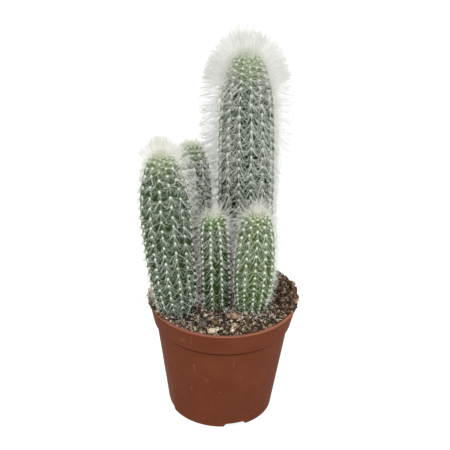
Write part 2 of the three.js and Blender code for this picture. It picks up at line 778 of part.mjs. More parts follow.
// The origin is the middle of the whole plant's footprint, on the surface that it stands on.
const footprint = new THREE.Box3().setFromObject(plant).getCenter(new THREE.Vector3());
plant.position.set(-footprint.x, -footprint.y, 0);

const group = new THREE.Group();
group.add(plant);

export default group;
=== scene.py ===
"""A silver torch cactus with five stems, in its plastic nursery pot, as a finished visual model.

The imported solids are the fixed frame. Sizes are in millimetres about the pot's axis, with the surface
that the pot stands on as height 0, and new_piece turns them into the frame's metres.
"""

from itertools import combinations

import bpy
import numpy as np
from mathutils import Matrix, Vector


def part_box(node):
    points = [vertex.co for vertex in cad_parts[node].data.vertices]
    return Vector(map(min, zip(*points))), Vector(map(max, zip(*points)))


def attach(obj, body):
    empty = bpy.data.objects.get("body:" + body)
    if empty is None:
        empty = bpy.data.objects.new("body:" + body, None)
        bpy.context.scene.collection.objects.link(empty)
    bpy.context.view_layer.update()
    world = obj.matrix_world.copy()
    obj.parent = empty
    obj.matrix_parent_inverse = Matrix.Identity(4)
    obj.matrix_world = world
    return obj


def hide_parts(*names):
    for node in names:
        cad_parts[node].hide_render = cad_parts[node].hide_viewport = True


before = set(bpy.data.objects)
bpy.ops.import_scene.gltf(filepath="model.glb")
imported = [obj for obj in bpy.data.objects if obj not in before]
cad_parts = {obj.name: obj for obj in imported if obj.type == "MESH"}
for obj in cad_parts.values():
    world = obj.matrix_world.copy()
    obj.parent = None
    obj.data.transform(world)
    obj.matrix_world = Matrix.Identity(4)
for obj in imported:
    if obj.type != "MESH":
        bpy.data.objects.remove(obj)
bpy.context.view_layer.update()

# Nursery pot
# A thin shell of reddish brown polypropylene, injection moulded in one piece: a small lip, a tall band
# under it, a step, a tapered wall and a foot ring with four notches that let water out.
MM = 0.001
pot_low, pot_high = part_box("pot")
POT_AXIS = np.array([(pot_low.x + pot_high.x) / 2, (pot_low.y + pot_high.y) / 2, 0]) / MM
POT_HEIGHT = pot_high.z / MM
LIP_RADIUS = (pot_high.x - pot_low.x) / 2 / MM
LIP_HEIGHT = 1.3
BAND_TOP_RADIUS = LIP_RADIUS - 0.7
BAND_BOTTOM_RADIUS = 48.3
BAND_BOTTOM = POT_HEIGHT - 17
WALL_TOP_RADIUS = 46.7
FOOT_RADIUS = 37
WALL = 1.2
FOOT_WIDTH = 1.5
FLOOR_UNDERSIDE = 2.9
FLOOR_TOP = 4.2
EDGE_ROUND = 0.35
NOTCHES = 4
NOTCH_FIRST = np.radians(-72.5)
NOTCH_SPAN = np.radians(25)
NOTCH_HEIGHT = 2.4
NOTCH_ARCH = ((1, 0), (0.84, 0.8), (0.68, 1))
DRAIN_RADIUS = 4.5
DRAIN_RING = 25
DRAIN_FIRST = np.radians(-27.5)
POT_TURNS = 240
DRAIN_TURNS = 24
FLOOR_RING = 6
LIP_HIGHLIGHT_HEIGHTS = (POT_HEIGHT - np.array([LIP_HEIGHT, 0.4])) * MM
STEP_SHADOW_HEIGHTS = (BAND_BOTTOM - np.array([2.5, 1.2])) * MM
STEP_SHADOW_END = (BAND_BOTTOM + np.array([0, 0.2])) * MM
SMEAR_HEIGHTS = (POT_HEIGHT - np.array([13, 4])) * MM
SMEAR_PLACES = (POT_AXIS[0] - np.array([40, 47])) * MM
SCUFF_STRETCH = (1, 1, 0.35)
DUST_BEND = 1.2
DUST_RIPPLES = 900.0
DUST_PATCHES = 45.0


def feed(tree, socket, value):
    """Sets a shader socket to a value, or links it to another socket."""
    if isinstance(value, bpy.types.NodeSocket):
        tree.links.new(value, socket)
    else:
        socket.default_value = value


def node(tree, kind, group=None, **inputs):
    """A new shader node of that kind, or of that node group, with its named inputs set or linked."""
    made = tree.nodes.new("ShaderNode" + kind)
    if group:
        made.node_tree = group
    for name, value in inputs.items():
        feed(tree, made.inputs[name.replace("_", " ")], value)
    return made


def worked(tree, kind, operation, *values):
    """What a Math or VectorMath node works out from values, each of them given or a socket."""
    made = node(tree, kind)
    made.operation = operation
    for socket, value in zip(made.inputs, values):
        feed(tree, socket, value)
    return made.outputs[0]


def mixed(tree, share, first, second, way="MIX"):
    """The colour that lies between two colours at that share of the second. A Mix node takes them at
    its sockets 0, 6 and 7, and gives the colour at 2."""
    mix = tree.nodes.new("ShaderNodeMix")
    mix.data_type = "RGBA"
    mix.blend_type = way
    for number, value in ((0, share), (6, first), (7, second)):
        feed(tree, mix.inputs[number], value)
    return mix.outputs[2]


def spread(tree, value, low, high, to_low=0.0, to_high=1.0):
    """A value stretched from low..high to to_low..to_high, and held at both ends. An end may be a
    socket."""
    ends = {"From_Min": low, "From_Max": high, "To_Min": to_low, "To_Max": to_high}
    return node(tree, "MapRange", Value=value, **ends).outputs[0]


def colour(red, green, blue):
    """A colour given by its screen values from 0 to 255, as the linear light that a shader takes."""
    share = np.array([red, green, blue]) / 255
    linear = np.where(share <= 0.04045, share / 12.92, ((share + 0.055) / 1.055) ** 2.4)
    return (*linear.tolist(), 1.0)


def new_group(name, inputs, outputs):
    """A shader node group with named sockets of kind Color or Float, and its input and output nodes."""
    tree = bpy.data.node_groups.new(name, "ShaderNodeTree")
    for way, sockets in (("INPUT", inputs), ("OUTPUT", outputs)):
        for label, kind in sockets.items():
            tree.interface.new_socket(label, in_out=way, socket_type="NodeSocket" + kind)
    return tree, tree.nodes.new("NodeGroupInput"), tree.nodes.new("NodeGroupOutput")


def mottling():
    """Uneven colour and a fine relief: a fractal noise on Object coordinates, 1 mm being Size 1."""
    inputs = {"Color": "Color", "Other Color": "Color", "Size": "Float"}
    tree, given, result = new_group("mottling", inputs, {"Color": "Color", "Height": "Float"})
    place = node(tree, "TexCoord").outputs["Object"]
    scale = worked(tree, "Math", "DIVIDE", 1 / MM, given.outputs["Size"])
    noise = node(tree, "TexNoise", Vector=place, Scale=scale, Detail=5.0, Roughness=0.6).outputs["Fac"]
    share = spread(tree, noise, 0.35, 0.65)
    shown = mixed(tree, share, given.outputs["Color"], given.outputs["Other Color"])
    tree.links.new(shown, result.inputs["Color"])
    tree.links.new(noise, result.inputs["Height"])
    return tree


def specks():
    """A mask of small scattered marks, such as dust: the cores of Voronoi cells, bent by a fine noise,
    in the patches where a coarse noise lets them through."""
    tree, given, result = new_group("specks", {"Size": "Float", "Amount": "Float"}, {"Mask": "Float"})
    place = node(tree, "TexCoord").outputs["Object"]
    scale = worked(tree, "Math", "DIVIDE", 1 / MM, given.outputs["Size"])
    ripple = node(tree, "TexNoise", Vector=place, Scale=DUST_RIPPLES, Detail=3.0).outputs["Color"]
    bent = worked(tree, "VectorMath", "MULTIPLY_ADD", ripple, [DUST_BEND * MM] * 3, place)
    cells = node(tree, "TexVoronoi", Vector=bent, Scale=scale)
    core = spread(tree, cells.outputs["Distance"], 0.10, 0.22, 1.0, 0.0)
    patch = node(tree, "TexNoise", Vector=place, Scale=DUST_PATCHES, Detail=2.0).outputs["Fac"]
    through = spread(tree, worked(tree, "Math", "ADD", patch, given.outputs["Amount"]), 1.0, 1.08)
    tree.links.new(worked(tree, "Math", "MULTIPLY", core, through), result.inputs["Mask"])
    return tree


MOTTLING = mottling()
SPECKS = specks()


def new_material(name, roughness, specular):
    """A material with its Principled shader's plain values set, its tree and that shader."""
    material = bpy.data.materials.new(name)
    material.use_nodes = True
    tree = material.node_tree
    shader = tree.nodes["Principled BSDF"]
    shader.inputs["Roughness"].default_value = roughness
    shader.inputs["Specular IOR Level"].default_value = specular
    return material, tree, shader


def relief(tree, shader, height, depth):
    """Lets a height in 0..1 show on the shader as bumps of that depth in millimetres."""
    bump = node(tree, "Bump", Height=height, Distance=depth * MM, Strength=1.0)
    tree.links.new(bump.outputs["Normal"], shader.inputs["Normal"])


def pot_plastic():
    """Dull brown plastic, slightly mottled: a painted highlight on top of the lip, a painted shadow along
    the step under the band, pale scuffs that run mostly down the wall, specks of dust, and smears of the
    mix on the band at the left."""
    material, tree, shader = new_material("brown_plastic", 0.6, 0.02)
    body = node(tree, "Group", MOTTLING, Color=colour(104, 55, 36), Other_Color=colour(97, 50, 33), Size=24.0)
    place = node(tree, "TexCoord").outputs["Object"]
    across, _, height = node(tree, "SeparateXYZ", Vector=place).outputs
    # Painted highlight: the top of the lip is made paler, in place of the light that its rounded edge
    # catches.
    lip_highlight = spread(tree, height, *LIP_HIGHLIGHT_HEIGHTS, 0.0, 0.7)
    lit = mixed(tree, lip_highlight, body.outputs["Color"], colour(150, 98, 80))
    # Painted shadow: a dark line just under the band, in place of the shade beneath the step.
    below = spread(tree, height, *STEP_SHADOW_HEIGHTS)
    painted_step_shadow = spread(tree, height, *STEP_SHADOW_END, below, 0.0)
    step_shaded = mixed(tree, painted_step_shadow, lit, colour(46, 21, 13))
    stretched = worked(tree, "VectorMath", "MULTIPLY", place, SCUFF_STRETCH)
    streaks = node(tree, "TexNoise", Vector=stretched, Scale=240.0, Detail=5.0, Roughness=0.7)
    scuffs = spread(tree, streaks.outputs["Fac"], 0.62, 0.76, 0.0, 0.6)
    worn = mixed(tree, scuffs, step_shaded, colour(150, 96, 76))
    dust = node(tree, "Group", SPECKS, Size=2.2, Amount=0.4)
    dusty = mixed(tree, dust.outputs["Mask"], worn, colour(160, 112, 92))
    patches = node(tree, "TexNoise", Vector=place, Scale=260.0, Detail=6.0, Roughness=0.65)
    spilt = spread(tree, patches.outputs["Fac"], 0.42, 0.56, 0.0, 0.85)
    spilt = spread(tree, height, *SMEAR_HEIGHTS, 0.0, spilt)
    spilt = spread(tree, across, *SMEAR_PLACES, 0.0, spilt)
    shown = mixed(tree, spilt, dusty, colour(70, 50, 39))
    tree.links.new(shown, shader.inputs["Base Color"])
    fine = node(tree, "Group", MOTTLING, Color=(0, 0, 0, 1), Other_Color=(1, 1, 1, 1), Size=1.2)
    relief(tree, shader, fine.outputs["Height"], 0.03)
    return material


def new_piece(name, points, faces, material, slot, replaced=None, values=None):
    """A smooth mesh from points in millimetres about the pot's axis, put into the frame in metres.

    faces is a list of arrays with one row of point numbers for each face, and values holds named
    numbers for each point, which its material reads.
    """
    mesh = bpy.data.meshes.new(name)
    corners = np.concatenate([part.ravel() for part in faces])
    sizes = np.concatenate([np.full(len(part), part.shape[1]) for part in faces])
    mesh.vertices.add(len(points))
    mesh.vertices.foreach_set("co", ((points + POT_AXIS) * MM).astype(np.float32).ravel())
    mesh.loops.add(len(corners))
    mesh.loops.foreach_set("vertex_index", corners.astype(np.int32))
    mesh.polygons.add(len(sizes))
    mesh.polygons.foreach_set("loop_start", (np.cumsum(sizes) - sizes).astype(np.int32))
    for label, numbers in (values or {}).items():
        held = mesh.attributes.new(label, "FLOAT", "POINT")
        held.data.foreach_set("value", numbers.astype(np.float32).ravel())
    mesh.update(calc_edges=True)
    mesh.shade_smooth()
    mesh.materials.append(material)
    piece = bpy.data.objects.new(name, mesh)
    bpy.context.scene.collection.objects.link(piece)
    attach(piece, "root")
    if replaced:
        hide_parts(replaced)
    return piece


def unit(vectors):
    """The vectors at length 1."""
    return vectors / np.linalg.norm(vectors, axis=-1, keepdims=True)


def all_round(count):
    """That many angles, spread evenly over a full turn."""
    return np.arange(count) * 2 * np.pi / count


def bands(rows, columns):
    """The point numbers of rings of points, those of the next point round, and the faces that join each
    ring to the one after it."""
    here = np.arange(rows * columns).reshape(rows, columns)
    after = np.roll(here, -1, axis=1)
    return here, after, np.stack([here[:-1], after[:-1], after[1:], here[1:]], -1).reshape(-1, 4)


def closed_body(rings, first_pole, last_pole):
    """Points and faces of a closed body: rings of points joined in turn, and a pole at either end.

    The faces point outwards where each ring runs anticlockwise about the way from first to last.
    """
    rows, columns = rings.shape[:2]
    here, after, sides = bands(rows, columns)
    first = np.full(columns, rows * columns)
    start = np.stack([first, after[0], here[0]], -1)
    end = np.stack([here[-1], after[-1], first + 1], -1)
    points = np.concatenate([rings.reshape(-1, 3), [first_pole], [last_pole]])
    return points, [sides, np.concatenate([start, end])]


def rounded(corners, radius, steps=4, held=1.5):
    """An outline with its corners rounded: each is cut off at the radius on both sides and a quadratic
    curve joins the cuts. A point a little before and after holds the straight stretches straight."""
    corners = np.array(corners, float)
    before = unit(corners[:-2] - corners[1:-1])
    after = unit(corners[2:] - corners[1:-1])
    t = np.linspace(0, 1, steps)[None, :, None]
    middle = corners[1:-1, None]
    cut_in, cut_out = middle + radius * before[:, None], middle + radius * after[:, None]
    curve = (1 - t) ** 2 * cut_in + 2 * t * (1 - t) * middle + t**2 * cut_out
    held_in, held_out = middle + held * radius * before[:, None], middle + held * radius * after[:, None]
    inner = np.concatenate([held_in, curve, held_out], axis=1).reshape(-1, 2)
    return np.concatenate([corners[:1], inner, corners[-1:]])


def notch_lift(angle):
    """How high the notches lift the foot ring's lower edge at an angle: an arch over each notch."""
    pitch = 2 * np.pi / NOTCHES
    off = np.abs((angle - NOTCH_FIRST + pitch / 2) % pitch - pitch / 2) / (NOTCH_SPAN / 2)
    shares, heights = zip(*NOTCH_ARCH[::-1])
    return NOTCH_HEIGHT * np.interp(off, shares, heights, right=0)


def nursery_pot():
    """The pot's section turned about its axis, with its lowest points lifted over the notches."""
    inner_ledge = BAND_BOTTOM + WALL
    floor_share = FLOOR_TOP / BAND_BOTTOM
    floor_radius = FOOT_RADIUS + (WALL_TOP_RADIUS - FOOT_RADIUS) * floor_share - WALL
    section = [
        (FLOOR_RING, FLOOR_UNDERSIDE),
        (FOOT_RADIUS - FOOT_WIDTH, FLOOR_UNDERSIDE),
        (FOOT_RADIUS - FOOT_WIDTH, 0),
        (FOOT_RADIUS, 0),
        (WALL_TOP_RADIUS, BAND_BOTTOM),
        (BAND_BOTTOM_RADIUS, BAND_BOTTOM),
        (BAND_TOP_RADIUS, POT_HEIGHT - LIP_HEIGHT),
        (LIP_RADIUS, POT_HEIGHT - LIP_HEIGHT),
        (LIP_RADIUS, POT_HEIGHT),
        (BAND_TOP_RADIUS - WALL, POT_HEIGHT),
        (BAND_BOTTOM_RADIUS - WALL, inner_ledge),
        (WALL_TOP_RADIUS - WALL, inner_ledge),
        (floor_radius, FLOOR_TOP),
        (FLOOR_RING, FLOOR_TOP),
    ]
    radius, height = rounded(section, EDGE_ROUND).T
    corners = np.array([side * share for share, _ in NOTCH_ARCH for side in (-1, 1)]) * NOTCH_SPAN / 2
    at_notches = (NOTCH_FIRST + all_round(NOTCHES)[:, None] + corners).ravel() % (2 * np.pi)
    angle = np.unique(np.round(np.concatenate([all_round(POT_TURNS), at_notches]), 5))
    low = np.clip(1 - height / FLOOR_UNDERSIDE, 0, 1)
    lifted = height[:, None] + low[:, None] * notch_lift(angle)
    rings = np.stack([radius[:, None] * np.cos(angle), radius[:, None] * np.sin(angle), lifted], axis=-1)
    return closed_body(rings, (0, 0, FLOOR_UNDERSIDE), (0, 0, FLOOR_TOP))


def drill_drains(pot):
    """Cuts the drain holes through the floor: one in the middle and a ring of four."""
    turn = all_round(DRAIN_TURNS)
    circle = np.stack([DRAIN_RADIUS * np.cos(turn), DRAIN_RADIUS * np.sin(turn), 0 * turn], -1)
    ring = DRAIN_FIRST + all_round(4)
    drills = []
    for x, y in [(0, 0), *zip(np.cos(ring) * DRAIN_RING, np.sin(ring) * DRAIN_RING)]:
        low, high = (x, y, FLOOR_UNDERSIDE - 1), (x, y, FLOOR_TOP + 1)
        points, faces = closed_body(np.stack([low + circle, high + circle]), low, high)
        mesh = bpy.data.meshes.new("drill")
        corners = [row for part in faces for row in part.tolist()]
        mesh.from_pydata(((points + POT_AXIS) * MM).tolist(), [], corners)
        drills.append(bpy.data.objects.new("drill", mesh))
        bpy.context.scene.collection.objects.link(drills[-1])
        cut = pot.modifiers.new("drain", "BOOLEAN")
        cut.object = drills[-1]
        cut.operation = "DIFFERENCE"
        cut.solver = "MANIFOLD"
    seen = bpy.context.evaluated_depsgraph_get()
    pot.data = bpy.data.meshes.new_from_object(pot.evaluated_get(seen))
    pot.modifiers.clear()
    for drill in drills:
        bpy.data.objects.remove(drill)


pot = new_piece("nursery_pot", *nursery_pot(), pot_plastic(), "pot_plastic", "pot")
drill_drains(pot)

# Potting mix
# A dark mix of peat, bark and grit, filled in loose up to the lip and a little over it at the right.
# It is one body here, and the crumbs that lie over its top have a section of their own.
MIX_LEVEL = 85.2
MIX_HEAP = 1.2
MIX_RISE = 1.5
MIX_RISE_WAY = np.radians(35)
MIX_CLEARANCE = 0.45
MIX_RINGS = 84
MIX_TURNS = 216
SPILL_WAY = np.radians(8)
SPILL_SPAN = np.radians(26)
SPILL_HEIGHT = 2.0
SPILL_FROM = 36
SPILL_RUN = 8
MIX_LUMPS = ((0.8, 9, 11), (0.55, 4, 12), (0.35, 1.9, 13))
MIX_SEAT = 0.3


def rumple(points, size, seed):
    """Smooth random numbers from -1 to 1 at the points: draws on a cubic lattice of that spacing,
    blended between its corners."""
    lattice = np.random.default_rng(seed).uniform(-1, 1, (32, 32, 32))
    cell = np.asarray(points) / size
    whole = np.floor(cell).astype(int)
    part = cell - whole
    part = part * part * (3 - 2 * part)
    total = 0
    for corner in np.ndindex(2, 2, 2):
        share = np.prod(np.where(corner, part, 1 - part), axis=-1)
        x, y, z = np.moveaxis((whole + corner) % 32, -1, 0)
        total = total + share * lattice[x, y, z]
    return total


def mix_level(x, y):
    """The smooth level of the mix at a place: heaped in the middle, and higher towards the back right."""
    share = np.hypot(x, y) / BAND_TOP_RADIUS
    rise = (x * np.cos(MIX_RISE_WAY) + y * np.sin(MIX_RISE_WAY)) / BAND_TOP_RADIUS
    return MIX_LEVEL + MIX_HEAP * (1 - share**2) + MIX_RISE * rise


def mix_height(x, y):
    """The top of the mix at a place: its smooth level, spilling over the lip at the right, and lumpy at
    three sizes, each row of MIX_LUMPS being a height, a spacing and a seed."""
    off = (np.arctan2(y, x) - SPILL_WAY) / SPILL_SPAN
    spill = SPILL_HEIGHT * np.exp(-(off**2)) * np.clip((np.hypot(x, y) - SPILL_FROM) / SPILL_RUN, 0, 1)
    flat = np.stack([x, y, 0 * x], -1)
    lumps = sum(high * rumple(flat, size, seed) for high, size, seed in MIX_LUMPS)
    return mix_level(x, y) + spill + lumps


def mix_body():
    """The filling: a floor, sides that follow the inside of the pot, and the lumpy top."""
    floor, ledge = FLOOR_TOP + MIX_SEAT, BAND_BOTTOM + WALL + MIX_SEAT
    top_radius = BAND_TOP_RADIUS - WALL - MIX_CLEARANCE - 0.2
    sides = np.array(
        [
            (FOOT_RADIUS - WALL - MIX_CLEARANCE, floor),
            (WALL_TOP_RADIUS - WALL - MIX_CLEARANCE, ledge),
            (BAND_BOTTOM_RADIUS - WALL - MIX_CLEARANCE, ledge),
        ]
    )
    angle = all_round(MIX_TURNS)
    around = np.stack([np.cos(angle), np.sin(angle)], -1)
    side_rings = np.concatenate(
        [sides[:, :1, None] * around, np.repeat(sides[:, 1:], MIX_TURNS, 1)[..., None]], -1
    )
    radius = top_radius * np.linspace(1, 1 / MIX_RINGS, MIX_RINGS)
    flat = radius[:, None, None] * around
    top_rings = np.concatenate([flat, mix_height(flat[..., 0], flat[..., 1])[..., None]], -1)
    rings = np.concatenate([side_rings, top_rings])
    middle = mix_height(np.zeros(1), np.zeros(1))[0]
    return closed_body(rings, (0, 0, floor), (0, 0, middle))


def patchy(name, shade, other, size, depth, roughness, specular=0.2):
    """A dull material of two shades in patches of that size, with pits of the same pattern."""
    material, tree, shader = new_material(name, roughness, specular)
    body = node(tree, "Group", MOTTLING, Color=colour(*shade), Other_Color=colour(*other), Size=size)
    tree.links.new(body.outputs["Color"], shader.inputs["Base Color"])
    relief(tree, shader, body.outputs["Height"], depth)
    return material


peat_material = patchy("peat", (38, 27, 20), (88, 66, 50), 2.2, 1.2, 0.95)
new_piece("mix_filling", *mix_body(), peat_material, "potting_mix", "soil")

# Stems
# Five ribbed green stems of one plant. Each is worked out from its axis, which bends from foot to tip,
# and an outline of crest radii, both within 1.2 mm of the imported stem's.
STEMS = {
    "tall": dict(
        foot=(15.2, 23.6, 86), bend=(13.4, 24.2, 170), tip=(10.8, 24.2, 256),
        outline=((0, 17.6), (25, 18.7), (64, 19.1), (108, 18.9), (134, 17.8), (149, 15.6), (162, 11.6),
                 (168, 7)),
        ribs=15, turn=15, spacing=(5.4, 6.2, 3.8, 2.4), old=(34, 52, 36), fresh=(148, 162, 110),
        lean=(0.35, 0.3, 0.2, 0, -0.1), width=0.052,
        bristles=(7, 16, 15, 16, 12), bristle_reach=(10, 11, 11, 9, 4.5),
        under=(3, 6, 6, 6, 5), under_reach=8.5,
        hairs=(1, 9, 22, 24, 8), hair_reach=(10.5, 12.5, 16.5, 17.5, 15),
        crown=(25.5, 16.5), crown_depth=31, crown_hairs=2900, crown_width=0.007, upright=0.1,
        tuft=0, tuft_hairs=0, cream=0.1,
    ),
    "left": dict(
        foot=(-31.2, -14.6, 86), bend=(-38.2, -13.4, 128), tip=(-42.7, -12, 197.5),
        outline=((0, 12.8), (13, 14.9), (28, 16), (46, 16.5), (70, 16.8), (88, 15.3), (98, 13.1), (107, 10),
                 (111, 6.6)),
        ribs=14, turn=7.5, spacing=(4.6, 7.4, 4.2, 2.2), old=(48, 66, 40), fresh=(142, 160, 112),
        lean=(0.2, 0.2, 0.2, 0.1, 0), sheltered=(180, 0.85), width=0.037,
        bristles=(6, 10, 14, 17, 13), bristle_reach=(8.5, 10, 10, 7.5, 4.5),
        under=(3, 5, 8, 9, 6), under_reach=8,
        hairs=(3, 4, 6, 9, 4), hair_reach=(8, 9, 9.5, 11, 13),
        crown=(16, 10), crown_depth=14, crown_hairs=1060, crown_width=0.007, upright=0.5,
        tuft=4.5, tuft_hairs=50, cream=0.7,
    ),
    "back": dict(
        foot=(-17, 14.6, 86), bend=(-20, 19, 140), tip=(-25, 23, 191),
        outline=((0, 9.8), (22, 11.3), (60, 12), (78, 11.8), (89, 11.2), (98, 9.5), (103.5, 5.8)),
        ribs=12, turn=8, spacing=(4.8, 5.8, 3.4, 2.0), old=(38, 56, 37), fresh=(120, 146, 94),
        lean=(0.4, 0.35, 0.25, 0.05, 0), width=0.063,
        bristles=(5, 14, 19, 19, 8), bristle_reach=(8.5, 10, 10, 8, 4),
        under=(3, 7, 7, 7, 5), under_reach=7,
        hairs=(0, 4, 9, 8, 1.5), hair_reach=(8, 9.5, 11, 11, 9),
        crown=(6, 5), crown_depth=7, crown_hairs=45, crown_width=0.008, upright=0.6,
        tuft=2.6, tuft_hairs=14, cream=0.5,
    ),
    "centre": dict(
        foot=(-4.6, -10.2, 86), bend=(-6, -15, 125), tip=(-7.9, -19, 158.5),
        outline=((0, 9.6), (22, 9.8), (48, 9.5), (61, 9.1), (69, 7.9), (72.4, 5.4)),
        ribs=9, turn=17, spacing=(4, 4.9, 2.6, 1.6), old=(48, 68, 32), fresh=(104, 138, 54),
        lean=(0.5, 0.5, 0.4, 0.2, 0), width=0.038,
        bristles=(3.4, 5.6, 10, 13, 9), bristle_reach=(7.5, 8.5, 9, 7, 3.5),
        under=(2.6, 3, 3.8, 5, 5), under_reach=7,
        hairs=(1.3, 2.6, 4, 4, 1), hair_reach=(6.5, 8, 9.5, 10.5, 9),
        crown=(9.5, 8), crown_depth=7, crown_hairs=60, crown_width=0.009, upright=0.3,
        tuft=3, tuft_hairs=80, cream=0.9,
    ),
    "right": dict(
        foot=(19.4, -13.8, 86), bend=(20.6, -15.6, 120), tip=(21, -17.4, 160),
        outline=((0, 9.4), (13, 12), (26, 13.2), (38, 13.4), (54, 12.5), (65, 10.8), (70.5, 8.6),
                 (73.3, 5.4)),
        ribs=13, turn=-5, spacing=(3.6, 6.2, 3.1, 1.7), old=(78, 98, 50), fresh=(106, 134, 64),
        lean=(0.4, 0.4, 0.4, 0.2, 0), width=0.034,
        bristles=(2, 6.5, 12, 15, 10), bristle_reach=(6, 9, 9.5, 7.5, 4),
        under=(1.5, 5, 6.4, 7, 6), under_reach=7,
        hairs=(1, 3, 5, 6, 1), hair_reach=(5, 8, 10, 11.5, 10),
        crown=(10.5, 8), crown_depth=8, crown_hairs=110, crown_width=0.009, upright=0.4,
        tuft=7, tuft_hairs=190, cream=0.9,
    ),
}
FURROW_DEPTH = 0.1
ROOT_RINGS = ((-23, 0.36), (-14, 0.6), (-5, 0.86))
POINTS_PER_RIB = 12
RING_SPACING = 0.95
AREOLE_SWELL = 0.28
SWELL_FADE = 6
AXIS_STEPS = 400
SKIN_STEPS = 900
SPACING_STRETCHES = (0, 0.8, 0.93, 1)
STAGGER_JITTER = 0.18
ROW_JITTER = 0.07
FIRST_AREOLE = 2.2
LAST_AREOLE = 1.3


def evenly_walked(points, count):
    """Points along a line of points, spread evenly over its length, and that length."""
    steps = np.linalg.norm(np.diff(points, axis=0), axis=1)
    walked = np.concatenate([[0], np.cumsum(steps)])
    wanted = np.linspace(0, walked[-1], count)
    return np.stack([np.interp(wanted, walked, column) for column in points.T], -1), walked[-1]


def smooth_through(points, steps=60):
    """A Catmull-Rom curve through the points: in each span a cubic whose slope at a point is half the
    way from the one before it to the one after it."""
    points = np.array(points, float)
    padded = np.concatenate([points[:1], points, points[-1:]])
    before, start, end, after = (padded[i : len(padded) - 3 + i, None] for i in range(4))
    t = np.linspace(0, 1, steps, endpoint=False)[None, :, None]
    slope_start, slope_end = (end - before) / 2, (after - start) / 2
    cubic = (2 * start - 2 * end + slope_start + slope_end) * t**3
    square = (-3 * start + 3 * end - 2 * slope_start - slope_end) * t**2
    curve = (cubic + square + slope_start * t + start).reshape(-1, points.shape[1])
    return np.concatenate([curve, points[-1:]])


